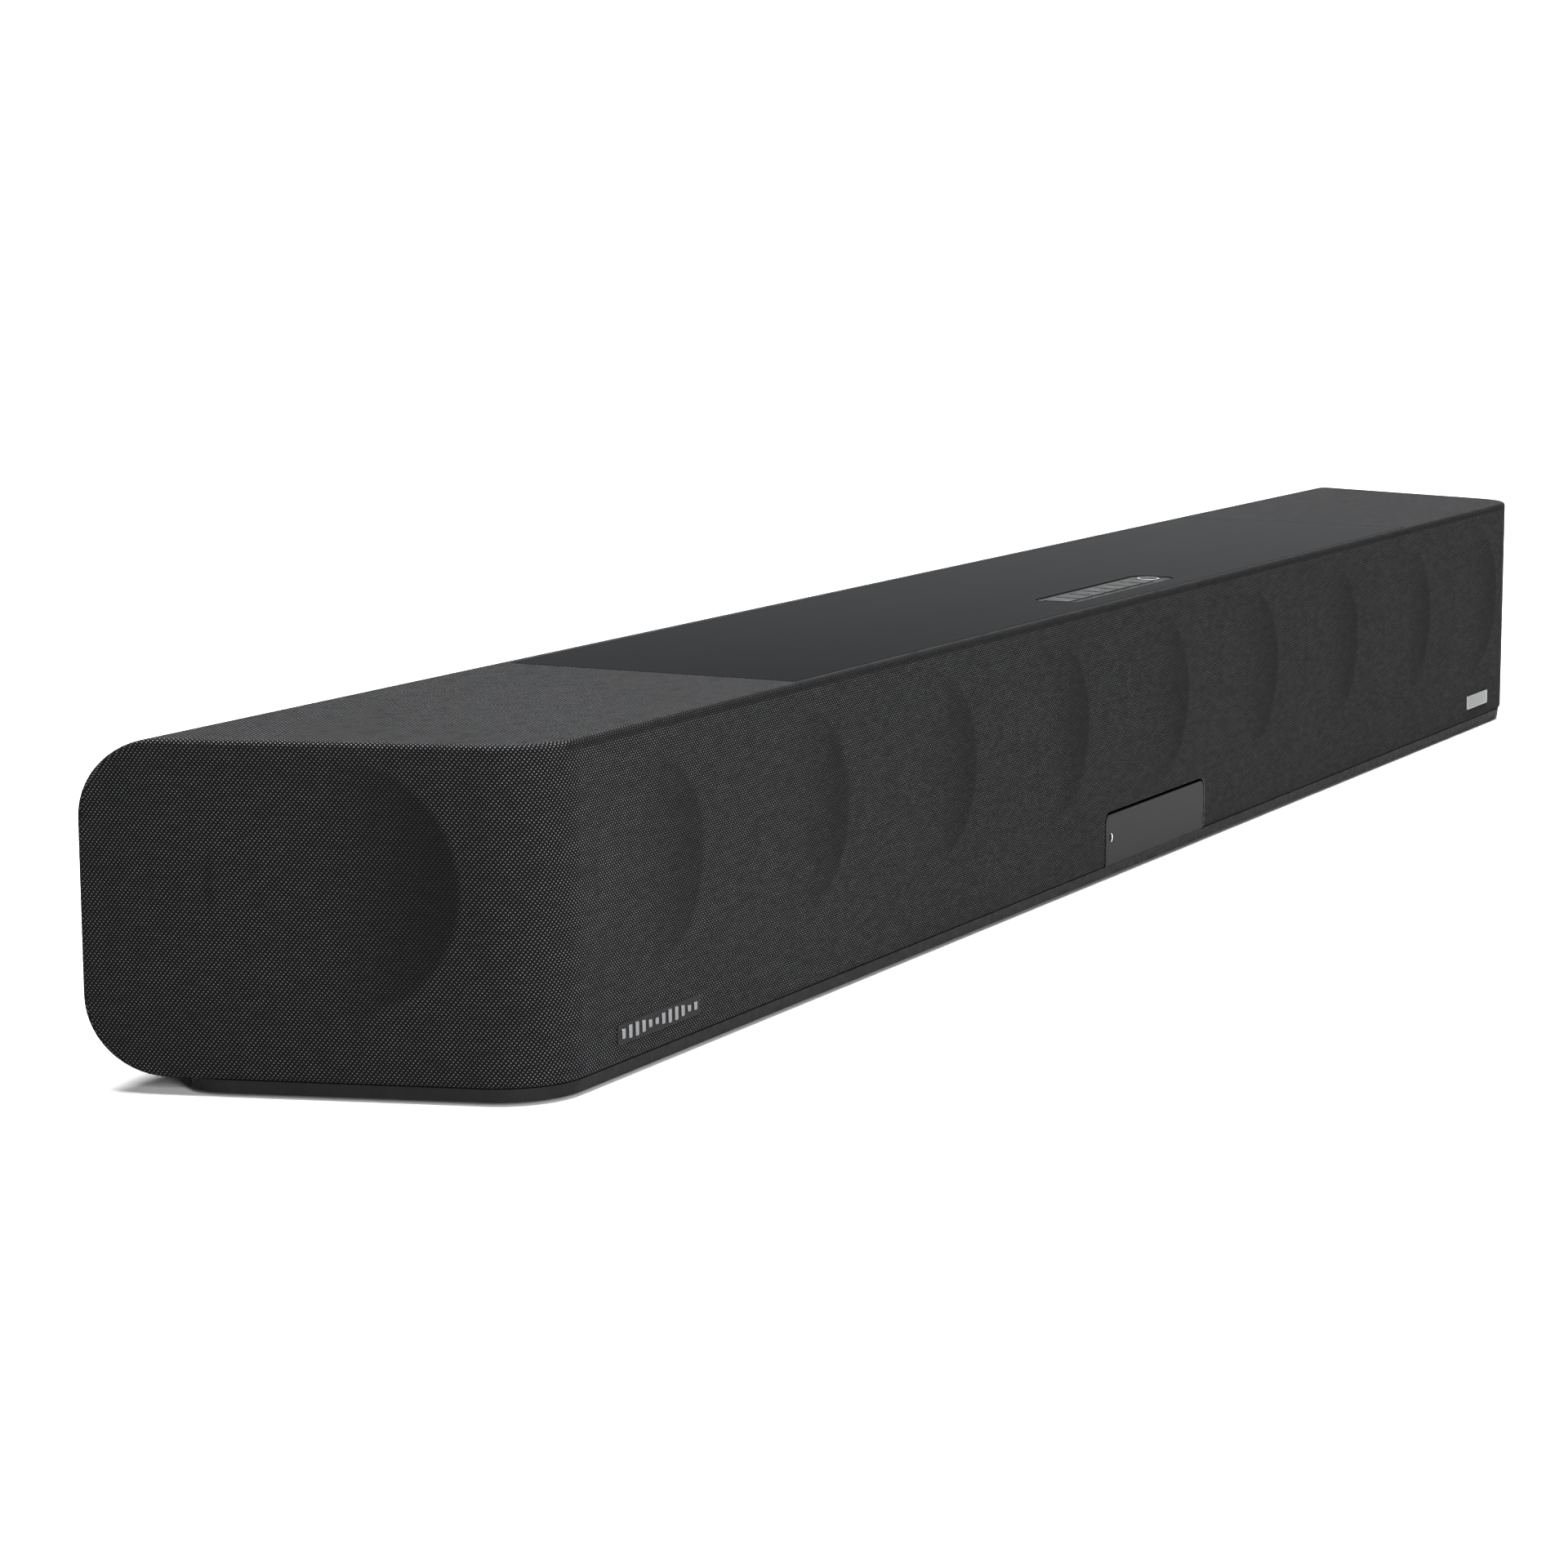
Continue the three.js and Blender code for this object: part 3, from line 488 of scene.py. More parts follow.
def rounded(x0, x1, y0, y1, r, steps=6, low_r=None):
    """A rounded rectangle's outline, counterclockwise from its lower left."""
    low_r = r if low_r is None else low_r
    corners = [
        (x0 + low_r, y0 + low_r, math.pi, low_r),
        (x1 - low_r, y0 + low_r, 1.5 * math.pi, low_r),
        (x1 - r, y1 - r, 0, r),
        (x0 + r, y1 - r, 0.5 * math.pi, r),
    ]
    points = []
    for cx, cy, start, radius in corners:
        count = steps if radius > 0 else 0
        for i in range(count + 1):
            angle = start + 0.5 * math.pi * i / max(count, 1)
            points.append((cx + radius * math.cos(angle), cy + radius * math.sin(angle)))
    return points


# The three ways an outline (a, b) can run along h: upwards, backwards and along the bar.


def lying(a, b, h):
    return (a, b, h)


def facing(a, b, h):
    return (a, h, b)


def sideways(a, b, h):
    return (h, a, b)


def prism(bm, outline, low, high, way=lying, material=0, last=None):
    """An outline drawn in two axes, run along the third from low to high. It can taper to a last
    outline with as many points."""
    pairs = ((outline, low), (last or outline, high))
    ends = [[bm.verts.new(way(a, b, h)) for a, b in drawn] for drawn, h in pairs]
    faces = [bm.faces.new(ends[0][::-1]), bm.faces.new(ends[1])]
    count = len(outline)
    for i in range(count):
        j = (i + 1) % count
        faces.append(bm.faces.new((ends[0][i], ends[0][j], ends[1][j], ends[1][i])))
    for face in faces:
        face.material_index = material


def block(bm, x0, x1, y0, y1, z0, z1, material=0):
    prism(bm, [(x0, y0), (x1, y0), (x1, y1), (x0, y1)], z0, z1, material=material)


def lathe(bm, outline, place=Matrix(), segments=48, material=0):
    """[radius, height] pairs turned about Z, then moved by `place`. A run of pairs that share a
    third value takes that material."""
    rings = []
    for r, h, *_ in outline:
        if rings and (r, h) == tuple(outline[0][:2]):
            rings.append(rings[0])
            continue
        if r == 0:
            rings.append([bm.verts.new(place @ Vector((0, 0, h)))])
            continue
        ring = []
        for i in range(segments):
            angle = math.tau * i / segments
            ring.append(bm.verts.new(place @ Vector((r * math.cos(angle), r * math.sin(angle), h))))
        rings.append(ring)
    for k, (low, high) in enumerate(zip(rings, rings[1:])):
        look = outline[k + 1][2] if len(outline[k + 1]) > 2 else material
        for i in range(segments):
            j = (i + 1) % segments
            corners = [low[i % len(low)], low[j % len(low)], high[j % len(high)], high[i % len(high)]]
            unique = list(dict.fromkeys(corners))
            if len(unique) > 2:
                bm.faces.new(unique).material_index = look


def ribbon(bm, points, width, low, high, closed=False, way=lying, material=0):
    """A flat stroke along a path, with square ends."""
    count = len(points)
    left, right = [], []
    for i, point in enumerate(points):
        before = points[i - 1] if i or closed else point
        after = points[(i + 1) % count] if i < count - 1 or closed else point
        along = (Vector(after) - Vector(before)).normalized()
        side = Vector((-along.y, along.x)) * width / 2
        left.append(Vector(point) + side)
        right.append(Vector(point) - side)
    stops = count if closed else count - 1
    for i in range(stops):
        j = (i + 1) % count
        prism(bm, [left[i], right[i], right[j], left[j]], low, high, way, material)


def arc(cx, cy, r, start, end, steps=16):
    """Points along an arc, angles in degrees."""
    angles = [math.radians(start + (end - start) * i / steps) for i in range(steps + 1)]
    return [(cx + r * math.cos(a), cy + r * math.sin(a)) for a in angles]


def settle(made):
    """Applies the piece's modifiers."""
    graph = bpy.context.evaluated_depsgraph_get()
    mesh = bpy.data.meshes.new_from_object(made.evaluated_get(graph), depsgraph=graph)
    old = made.data
    name = old.name
    made.modifiers.clear()
    made.data = mesh
    bpy.data.meshes.remove(old)
    mesh.name = name


def carve(made, cutter_bm):
    """Cuts a closed bmesh out of the piece."""
    bmesh.ops.recalc_face_normals(cutter_bm, faces=cutter_bm.faces)
    mesh = bpy.data.meshes.new("cutter")
    cutter_bm.to_mesh(mesh)
    cutter_bm.free()
    cutter = bpy.data.objects.new("cutter", mesh)
    bpy.context.collection.objects.link(cutter)
    cut = made.modifiers.new("cut", "BOOLEAN")
    cut.object = cutter
    cut.operation = "DIFFERENCE"
    cut.solver = "EXACT"
    settle(made)
    bpy.data.objects.remove(cutter)
    bpy.data.meshes.remove(mesh)


def soften(made, width, segments=2, angle=40):
    """A bevel on the sharp edges of a carved piece."""
    edges = made.modifiers.new("bevel", "BEVEL")
    edges.width = width
    edges.segments = segments
    edges.limit_method = "ANGLE"
    edges.angle_limit = math.radians(angle)
    made.modifiers.new("normals", "WEIGHTED_NORMAL")


# ---- The cloth -----------------------------------------------------------------------------


def rounded_z(y, side):
    """The height of the top (side 1) or underside (side -1) at depth y."""
    edge = HI.z if side > 0 else LO.z
    if y <= FLAT_REAR:
        return edge
    drop = REAR_CORNER_R - math.sqrt(max(REAR_CORNER_R**2 - (y - FLAT_REAR) ** 2, 0))
    return edge - side * drop


def right_stations():
    """Points round the right half of the plan, from the front's middle to the rear edge, each
    with its outward direction and its distance along the cloth."""
    found = [(0.0, LO.y, Vector((0, -1, 0)), 0.0)]
    for x in (0.2, SEAM_X - 0.0001, SEAM_X + CLOTH_JOIN, (SEAM_X + CORNER_X) / 2):
        found.append((x, LO.y, Vector((0, -1, 0)), x))
    turn = math.pi / 2 - RAKE_ANGLE
    for i in range(17):
        angle = -math.pi / 2 + turn * i / 16
        out = Vector((math.cos(angle), math.sin(angle), 0))
        x, y = CORNER_X + FRONT_CORNER_R * out.x, CORNER_Y + FRONT_CORNER_R * out.y
        found.append((x, y, out, CORNER_X + FRONT_CORNER_R * turn * i / 16))
    x0, y0, out, s0 = found[-1]
    depths = [y0 + (FLAT_REAR - y0) * i / 6 for i in range(1, 7)]
    depths += [FLAT_REAR + REAR_CORNER_R * math.sin(math.pi / 2 * i / 14) for i in range(1, 15)]
    for y in depths:
        found.append((x0 + (y - y0) * END_RAKE, y, out, s0 + (y - y0) * RAKE_STRETCH))
    return found


def edge_turn(stations, i, side):
    """The cloth's rounded turn from the wall into the top or underside at one station."""
    x, y, out, _ = stations[i]
    edge = Vector((x, y, rounded_z(y, side)))
    ahead, back = stations[min(i + 1, len(stations) - 1)], stations[max(i - 1, 0)]
    run = Vector((ahead[0] - back[0], ahead[1] - back[1], 0))
    run.z = rounded_z(ahead[1], side) - rounded_z(back[1], side)
    tilt = (y - FLAT_REAR) / REAR_CORNER_R if y > FLAT_REAR else 0
    flat_out = Vector((0, tilt, side * math.sqrt(max(1 - tilt * tilt, 0))))
    if tilt > 0.999:
        run = Vector((0, 0, -1))
    inner = Vector((0, -0.02, (LO.z + HI.z) / 2))
    down = out.cross(run).normalized()
    inward = flat_out.cross(run).normalized()
    down *= 1 if down.dot(inner - edge) > 0 else -1
    inward *= 1 if inward.dot(inner - edge) > 0 else -1
    start, end = edge + down * CLOTH_EDGE_R, edge + inward * CLOTH_EDGE_R
    points = []
    for k in range(7):
        t = k / 6
        points.append((1 - t) ** 2 * start + 2 * t * (1 - t) * edge + t * t * end)
    return points


def cloth_surface():
    """The outer surface of the cloth with its "weave" coordinates."""
    bm = bmesh.new()
    weave = bm.loops.layers.float_vector.new("weave")
    half = right_stations()
    last = len(half) - 1

    def quad(corners, coordinates):
        keep = []
        for corner, coordinate in zip(corners, coordinates):
            if not keep or (corner - keep[-1][0]).length > 1e-6:
                keep.append((corner, coordinate))
        if (keep[0][0] - keep[-1][0]).length < 1e-6:
            keep.pop()
        if len(keep) < 3:
            return
        face = bm.faces.new([bm.verts.new(corner) for corner, _ in keep])
        for loop, (_, coordinate) in zip(face.loops, keep):
            loop[weave] = coordinate

    def mirrored(corners, coordinates):
        quad(corners, coordinates)
        flip = Vector((-1, 1, 1))
        quad(
            [corner * flip for corner in reversed(corners)],
            [coordinate * flip for coordinate in reversed(coordinates)],
        )

    columns = []
    for i, (_, _, _, s) in enumerate(half):
        top = edge_turn(half, i, 1)
        low = edge_turn(half, i, -1)[::-1]
        points = low + top
        rises = [0.0]
        for a, b in zip(points, points[1:]):
            rises.append(rises[-1] + (b - a).length)
        base = low[-1].z - rises[len(low) - 1]
        columns.append((points, [Vector((s, base + rise, 0)) for rise in rises]))
    for (a, ua), (b, ub) in zip(columns, columns[1:]):
        for k in range(len(a) - 1):
            mirrored([a[k], b[k], b[k + 1], a[k + 1]], [ua[k], ub[k], ub[k + 1], ua[k + 1]])
    turn_low, turn_top = columns[last][0][:7][::-1], columns[last][0][7:]
    uv = columns[last][1]
    for k in range(6):
        spots = [turn_low[k], turn_low[k + 1], turn_top[k + 1], turn_top[k]]
        step = CLOTH_EDGE_R / 4
        reach = [uv[0].x + step * (k + ahead) for ahead in (0, 1, 1, 0)]
        mirrored(spots, [Vector((along, p.z, 0)) for along, p in zip(reach, spots)])

    def flat_point(point, run):
        return Vector((point.x, run, 0))

    for side in (1, -1):
        run = LO.y
        previous = None
        for i in range(4, last + 1):
            edge = columns[i][0][-1 if side > 0 else 0]
            if side < 0 and half[i][1] < FLAT_REAR - 1e-6:
                continue
            seam = Vector((SEAM_X + CLOTH_JOIN, edge.y, edge.z))
            if previous:
                old_edge, old_seam, old_run = previous
                run = old_run + (seam - old_seam).length
                spots, runs = [old_edge, edge, seam, old_seam], [old_run, run, run, old_run]
                mirrored(spots, [flat_point(spot, at) for spot, at in zip(spots, runs)])
            previous = (edge, seam, run)
    lip = [Vector((0, PLATE_FRONT_Y, HI.z)), Vector((0, PLATE_FRONT_Y + 0.0002, HI.z - 0.0012))]
    for i in range(3):
        a, b = columns[i], columns[i + 1]
        strip_a = [a[0][-1]] + [Vector((a[0][-1].x, p.y, p.z)) for p in lip]
        strip_b = [b[0][-1]] + [Vector((b[0][-1].x, p.y, p.z)) for p in lip]
        for k in range(2):
            spots = [strip_a[k], strip_b[k], strip_b[k + 1], strip_a[k + 1]]
            mirrored(spots, [Vector((p.x, a[1][-1].y + p.y - a[0][-1].y, 0)) for p in spots])
    bmesh.ops.remove_doubles(bm, verts=bm.verts, dist=2e-6)
    return bm


def cloth_cover():
    made = piece("cloth_cover", cloth_surface(), MATERIALS["cloth"], "grille_cloth")
    made.modifiers.clear()
    thick = made.modifiers.new("thickness", "SOLIDIFY")
    thick.thickness = CLOTH_THICK
    thick.offset = -1
    settle(made)
    low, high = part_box("display_window")
    gap = 0.0006
    cutter = bmesh.new()
    outline = rounded(low[0] - gap, high[0] + gap, LO.z - 0.01, high[2] + gap, 0.0056, 8, 0)
    prism(cutter, outline, LO.y - 0.01, LO.y + 0.004, facing)
    carve(made, cutter)
    made.modifiers.new("normals", "WEIGHTED_NORMAL")
    across = 2 * right_stations()[-1][3]


# ---- Top plate and controls ---------------------------------------------------------------

PANEL_R = 0.0055
KEYS = ["power", "source", "wireless", "mute", "mode", "volume_down", "volume_up"]
RING_R = 0.0058
KEY_FLANGE = Vector((0.0008, 0.0011, 0))  # how far a key's flange reaches past its cap
KEY_FLANGE_TOP = 0.0033  # from the cap's top down to the flange
KEY_CLEARANCE = 0.00028
ICON_RISE = 0.00006
ICON_SIZE = 0.0062
STROKE = 0.00042


def top_plate():
    low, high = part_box("top_plate")
    bm = bmesh.new()
    block(bm, low[0], high[0], low[1], high[1], low[2], high[2])
    made = piece("brushed_top", bm, MATERIALS["top"], "top_plate")
    panel_low, panel_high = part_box("control_panel")
    gap = 0.0003
    hole = rounded(
        panel_low[0] - gap, panel_high[0] + gap, panel_low[1] - gap, panel_high[1] + gap, PANEL_R
    )
    cutter = bmesh.new()
    prism(cutter, hole, low[2] - 0.002, high[2] + 0.002)
    carve(made, cutter)
    soften(made, 0.00035, angle=30)


def control_panel():
    low, high = span("control_panel")
    bm = bmesh.new()
    prism(bm, rounded(low.x, high.x, low.y, high.y, PANEL_R - 0.0001), low.z, high.z)
    made = piece("control_inlay", bm, MATERIALS["panel"], "control_panel")
    cutter = bmesh.new()
    gap = KEY_CLEARANCE
    for name in KEYS:
        a, b = cap_box(name)
        hole = rounded(a.x - gap, b.x + gap, a.y - gap, b.y + gap, 0.0011, 4)
        prism(cutter, hole, low.z - 0.004, high.z + 0.004)
    ring = middle("ring_button")
    r = RING_R + gap
    prism(cutter, arc(ring.x, ring.y, r, 0, 360 - 7.5, 47), low.z - 0.004, high.z + 0.004)
    carve(made, cutter)
    soften(made, 0.00018, angle=30)


def cap_box(name):
    """The visible cap of a key, without its flange."""
    low, high = span(f"key_{name}")
    return low + KEY_FLANGE, high - KEY_FLANGE


# Each icon is drawn round (x, y) with strokes; u is the icon's size.


def icon_power(line, x, y, u):
    line(arc(x, y, 0.42 * u, 125, 415, 24))
    line([(x, y + 0.12 * u), (x, y + 0.6 * u)])


def icon_source(line, x, y, u):
    left, right, rise = x - 0.1 * u, x + 0.5 * u, 0.45 * u
    line([(left, y + rise), (right, y + rise), (right, y - rise), (left, y - rise)])
    line([(x - 0.6 * u, y), (x + 0.15 * u, y)])
    line([(x - 0.08 * u, y + 0.24 * u), (x + 0.18 * u, y), (x - 0.08 * u, y - 0.24 * u)])


def icon_wireless(line, x, y, u):
    for r in (0.18, 0.42, 0.66):
        line(arc(x - 0.25 * u, y - 0.2 * u, r * u, 0, 90, 10))
    line(arc(x - 0.25 * u, y - 0.2 * u, 0.03 * u, 0, 330, 8), True)


def icon_mute(line, x, y, u):
    body = [(-0.5, -0.16), (-0.28, -0.16), (0, -0.42), (0, 0.42), (-0.28, 0.16), (-0.5, 0.16)]
    line([(x + a * u, y + b * u) for a, b in body], True)
    line([(x + 0.2 * u, y - 0.18 * u), (x + 0.54 * u, y + 0.18 * u)])
    line([(x + 0.2 * u, y + 0.18 * u), (x + 0.54 * u, y - 0.18 * u)])


def icon_mode(line, x, y, u):
    for k, knob in ((-1, 0.2), (0, -0.15), (1, 0.05)):
        line([(x + 0.34 * k * u, y - 0.45 * u), (x + 0.34 * k * u, y + 0.45 * u)])
        line([(x + (0.34 * k - 0.11) * u, y + knob * u), (x + (0.34 * k + 0.11) * u, y + knob * u)])


def icon_volume_down(line, x, y, u):
    line([(x - 0.42 * u, y), (x + 0.42 * u, y)])


def icon_volume_up(line, x, y, u):
    line([(x - 0.42 * u, y), (x + 0.42 * u, y)])
    line([(x, y - 0.42 * u), (x, y + 0.42 * u)])


ICONS = {
    "power": icon_power,
    "source": icon_source,
    "wireless": icon_wireless,
    "mute": icon_mute,
    "mode": icon_mode,
    "volume_down": icon_volume_down,
    "volume_up": icon_volume_up,
}


def key(name):
    node = f"key_{name}"
    low, high = span(node)
    a, b = cap_box(name)
    bm = bmesh.new()
    prism(bm, rounded(a.x, b.x, a.y, b.y, 0.0009, 4), high.z - KEY_FLANGE_TOP, high.z)
    shelf = high.z - KEY_FLANGE_TOP
    prism(bm, rounded(low.x, high.x, low.y, high.y, 0.0006, 2), low.z + 0.0015, shelf)
    stem = 0.0015
    prism(bm, rounded(-stem + (a.x + b.x) / 2, stem + (a.x + b.x) / 2, (a.y + b.y) / 2 - stem,
                      (a.y + b.y) / 2 + stem, 0.0003, 2), low.z, low.z + 0.0015)

    def line(points, closed=False):
        ribbon(bm, points, STROKE, high.z - 0.0002, high.z + ICON_RISE, closed, material=1)

    ICONS[name](line, (a.x + b.x) / 2, (a.y + b.y) / 2, ICON_SIZE)
    looks = looks_of("key", "ink")
    piece(f"cap_{name}", bm, looks, node, f"{node}_body", bevel=0.00016, segments=2)


def ring_button():
    low, high = span("ring_button")
    centre = middle("ring_button")
    depth = high.z - low.z
    r = RING_R
    # The pairs marked 1 put light grey on the rim's top: a painted highlight where the rim catches the
    # light.
    outline = [
        (0, 0), (0.0015, 0), (0.0015, 0.0015), (r + 0.0011, 0.0015), (r + 0.0011, 0.0033),
        (r, 0.0033), (r, depth - 0.0003), (r - 0.0001, depth - 0.0001, 1), (r - 0.0003, depth, 1),
        (r - 0.0009, depth, 1), (r - 0.0011, depth - 0.0001, 1), (r - 0.0013, depth - 0.0005),
        (r - 0.0020, depth - 0.0009), (r - 0.0032, depth - 0.00115), (0.0012, depth - 0.00125),
        (0, depth - 0.00125),
    ]
    bm = bmesh.new()
    lathe(bm, outline, Matrix.Translation((centre.x, centre.y, low.z)), 64)
    dot = arc(centre.x, centre.y, 0.0009, 0, 345, 23)
    prism(bm, dot, high.z - 0.0013, high.z - 0.00118, material=1)
    # The cap's plastic, much darker than the keys', is painted shade for its dished top.
    looks = looks_of("dark_key", "ring")
    piece("ring_cap", bm, looks, "ring_button", "ring_button_body")


# ---- Window, indicator and badges ---------------------------------------------------------


def display_window():
    low, high = span("display_window")
    bm = bmesh.new()
    rim = 0.0009
    outline = rounded(low.x + rim, high.x - rim, low.z, high.z - rim, 0.0042, 10, 0)
    prism(bm, outline, low.y, high.y, facing)
    made = piece("window_pane", bm, MATERIALS["window"], "display_window")
    eye = middle("indicator_lens")
    cutter = bmesh.new()
    prism(cutter, arc(eye.x, eye.z, 0.0024, 0, 352, 44), low.y - 0.001, high.y + 0.001, facing)
    carve(made, cutter)
    soften(made, 0.0003, 3, angle=30)
    # A near-black band in the gap round the pane: painted shade where the gap falls dark.
    bm = bmesh.new()
    round_it = rounded(low.x + rim / 2, high.x - rim / 2, low.z, high.z - rim / 2, 0.0046, 10, 0)
    ribbon(bm, round_it[1:] + round_it[:1], rim, low.y + 0.0006, high.y - 0.0002, way=facing)
    piece("window_shade_band", bm, MATERIALS["gap"], "display_window")


def indicator():
    low, _ = span("indicator_lens")
    eye = middle("indicator_lens")
    bm = bmesh.new()
    turn = Matrix.Translation((eye.x, low.y, eye.z)) @ Matrix.Rotation(math.pi / 2, 4, "X")
    r = 0.0023
    lathe(bm, [(0, -0.0015), (r, -0.0015), (r, -0.0001), (r - 0.0002, 0), (0, 0)], turn, 40)
    # The white crescent on the right of the rim is a painted highlight, where the rim catches the light.
    outer = arc(eye.x - 0.0009, eye.z, 0.0023, -72, 72, 20)
    inner = arc(eye.x - 0.0021, eye.z, 0.0026, 56, -56, 20)
    prism(bm, outer + inner, low.y - 0.00005, low.y + 0.0002, facing, 1)
    piece("indicator", bm, looks_of("window", "lens"), "indicator_lens")


def badges():
    """Plain stand-ins: a level meter's bars on the left, a fluted plate on the right."""
    low, high = span("badge_left")
    bm = bmesh.new()
    prism(bm, rounded(low.x, high.x, low.z, high.z, 0.0012, 4), low.y + 0.0004, high.y, facing)
    count = 12
    pitch = (high.x - low.x - 0.003) / count
    for i in range(count):
        x = low.x + 0.0015 + pitch * (i + 0.5)
        rise = 0.35 + 0.65 * abs(math.sin(0.55 * i + 0.6))
        reach = rise * (high.z - low.z - 0.0022) / 2
        bar = rounded(x - 0.0012, x + 0.0012, middle("badge_left").z - reach,
                      middle("badge_left").z + reach, 0.0006, 3)
        prism(bm, bar, low.y, low.y + 0.0006, facing, 1)
    looks = looks_of("window", "bright")
    piece("badge_meter", bm, looks, "badge_left", bevel=0.00012, segments=2)

    low, high = span("badge_right")
    bm = bmesh.new()
    prism(bm, rounded(low.x, high.x, low.z, high.z, 0.0012, 5), low.y + 0.0002, high.y, facing)
    for i in range(5):
        z = low.z + (high.z - low.z) * (i + 1) / 6
        rib = rounded(low.x + 0.004, high.x - 0.004, z - 0.00035, z + 0.00035, 0.0003, 3)
        prism(bm, rib, low.y, low.y + 0.0004, facing)
    piece("badge_plate", bm, MATERIALS["bright"], "badge_right", bevel=0.00015, segments=2)


# ---- Base, feet and screws ------------------------------------------------------------------

SOLE_VENT_START = 0.265  # the underside's slots, on each side
SOLE_VENT_PITCH = 0.0125
CORNERS = [f"{end}_{side}" for side in ("left", "right") for end in ("front", "rear")]


def plan_outline(inset, rear, corner=0.0):
    """The plan's outline with its raked ends, inset all round and cut off at depth `rear`, where
    its corners can be rounded off."""
    r = FRONT_CORNER_R - inset
    right = []
    turn = math.pi / 2 - RAKE_ANGLE
    for i in range(15):
        angle = -math.pi / 2 + turn * i / 14
        right.append((CORNER_X + r * math.cos(angle), CORNER_Y + r * math.sin(angle)))
    edge = HI.x - END_RAKE * (HI.y - rear) - inset * RAKE_STRETCH
    start, square = Vector((edge - END_RAKE * corner, rear - corner)), Vector((edge, rear))
    stop = Vector((edge - corner, rear))
    for t in [i / 8 for i in range(9)] if corner else [1]:
        right.append(tuple((1 - t) ** 2 * start + 2 * t * (1 - t) * square + t * t * stop))
    return right + [(-x, y) for x, y in reversed(right)]


def base():
    low, high = span("base_plate")
    strip_top = LO.z - 0.0002
    bm = bmesh.new()
    sole = plan_outline(0.0016, high.y, TRAY_CORNER)
    prism(bm, sole, low.z, strip_top, last=plan_outline(0.001, high.y, TRAY_CORNER))
    # The tray's plastic is darker than the platform's: painted shade along the bottom strip.
    made = piece("base_tray", bm, MATERIALS["shaded_tray"], "base_plate")
    cutter = bmesh.new()
    for x, y in screw_places():
        hole = arc(x, y, 0.0037, 0, 350, 35)
        prism(cutter, hole, low.z - 0.001, low.z + 0.0036)
    for side in (-1, 1):
        for i in range(11):
            x = side * (SOLE_VENT_START + SOLE_VENT_PITCH * i)
            slot = rounded(x - 0.002, x + 0.002, -0.045, 0.025, 0.0019, 5)
            prism(cutter, slot, low.z - 0.001, low.z + 0.0016)
    groove = rounded(-0.17, 0.17, -0.04, 0.02, 0.008, 6)
    prism(cutter, groove, low.z - 0.001, low.z + 0.0006)
    carve(made, cutter)
    soften(made, 0.0006, angle=30)
    bm = bmesh.new()
    prism(bm, plan_outline(0.0065, high.y - 0.0025), strip_top, high.z)
    piece("base_platform", bm, MATERIALS["casing"], "base_plate", bevel=0.0006)


def screw_places():
    names = [f"case_screw_{end}_{side}" for end in ("front", "rear") for side in ("left", "right")]
    return [middle(name).to_tuple()[:2] for name in names]


def feet():
    for corner in CORNERS:
        node = f"foot_{corner}"
        low, high = span(node)
        centre = middle(node)
        r, tall = (high.x - low.x) / 2, high.z - low.z
        groove = 0.25 * tall
        outline = [(0, groove), (0.004, groove), (0.0046, 0)]
        for ring in (0.0075, 0.0105):
            outline += [(ring, 0), (ring + 0.0003, groove), (ring + 0.0009, groove), (ring + 0.0012, 0)]
        outline += [(r - 0.0008, 0), (r - 0.0002, 0.2 * tall), (r, 0.5 * tall), (r, tall), (0, tall)]
        bm = bmesh.new()
        lathe(bm, outline, Matrix.Translation((centre.x, centre.y, low.z)), 56)
        piece(f"pad_{corner}", bm, MATERIALS["rubber"], node)


def screws():
    for corner in CORNERS:
        node = f"case_screw_{corner}"
        low, high = span(node)
        centre = middle(node)
        tall, head, shank = high.z - low.z, 0.0034, 0.0016
        outline = [(0, 0.0001), (head - 0.0012, 0.0001), (head - 0.0003, 0.0005), (head, 0.0011)]
        outline += [(head, 0.002), (shank, 0.002)]
        turns = 7
        for i in range(turns):
            z = 0.0024 + i * (tall - 0.005) / turns
            outline += [(shank, z), (shank - 0.0004, z + 0.0005)]
        outline += [(shank - 0.0002, tall - 0.0018), (0, tall)]
        bm = bmesh.new()
        lathe(bm, outline, Matrix.Translation((centre.x, centre.y, low.z)), 32)
        made = piece(f"screw_{corner}", bm, MATERIALS["zinc"], node)
        cutter = bmesh.new()
        for across in (0, 1):
            a, b = (0.0019, 0.00035) if across else (0.00035, 0.0019)
            prism(cutter, [(centre.x - a, centre.y - b), (centre.x + a, centre.y - b),
                           (centre.x + a, centre.y + b), (centre.x - a, centre.y + b)],
                  low.z - 0.001, low.z + 0.0012 + across * 0.0001)
        carve(made, cutter)


# ---- Drivers --------------------------------------------------------------------------------


def spoke(bm, place, angle, start, end, half_width, thick):
    """A flat bar from (radius, height) start to end, at an angle round the axis."""
    turn = place @ Matrix.Rotation(angle, 4, "Z")
    (r0, h0), (r1, h1) = start, end
    across = Vector((h0 - h1, 0, r1 - r0)).normalized() * thick
    rows = []
    for r, h in (start, end):
        for side in (-1, 1):
            for shift in (0, 1):
                rows.append(bm.verts.new(turn @ (Vector((r, side * half_width, h)) + shift * across)))
    order = [(0, 1, 3, 2), (4, 6, 7, 5), (0, 4, 5, 1), (2, 3, 7, 6), (0, 2, 6, 4), (1, 5, 7, 3)]
    for corners in order:
        bm.faces.new([rows[i] for i in corners])


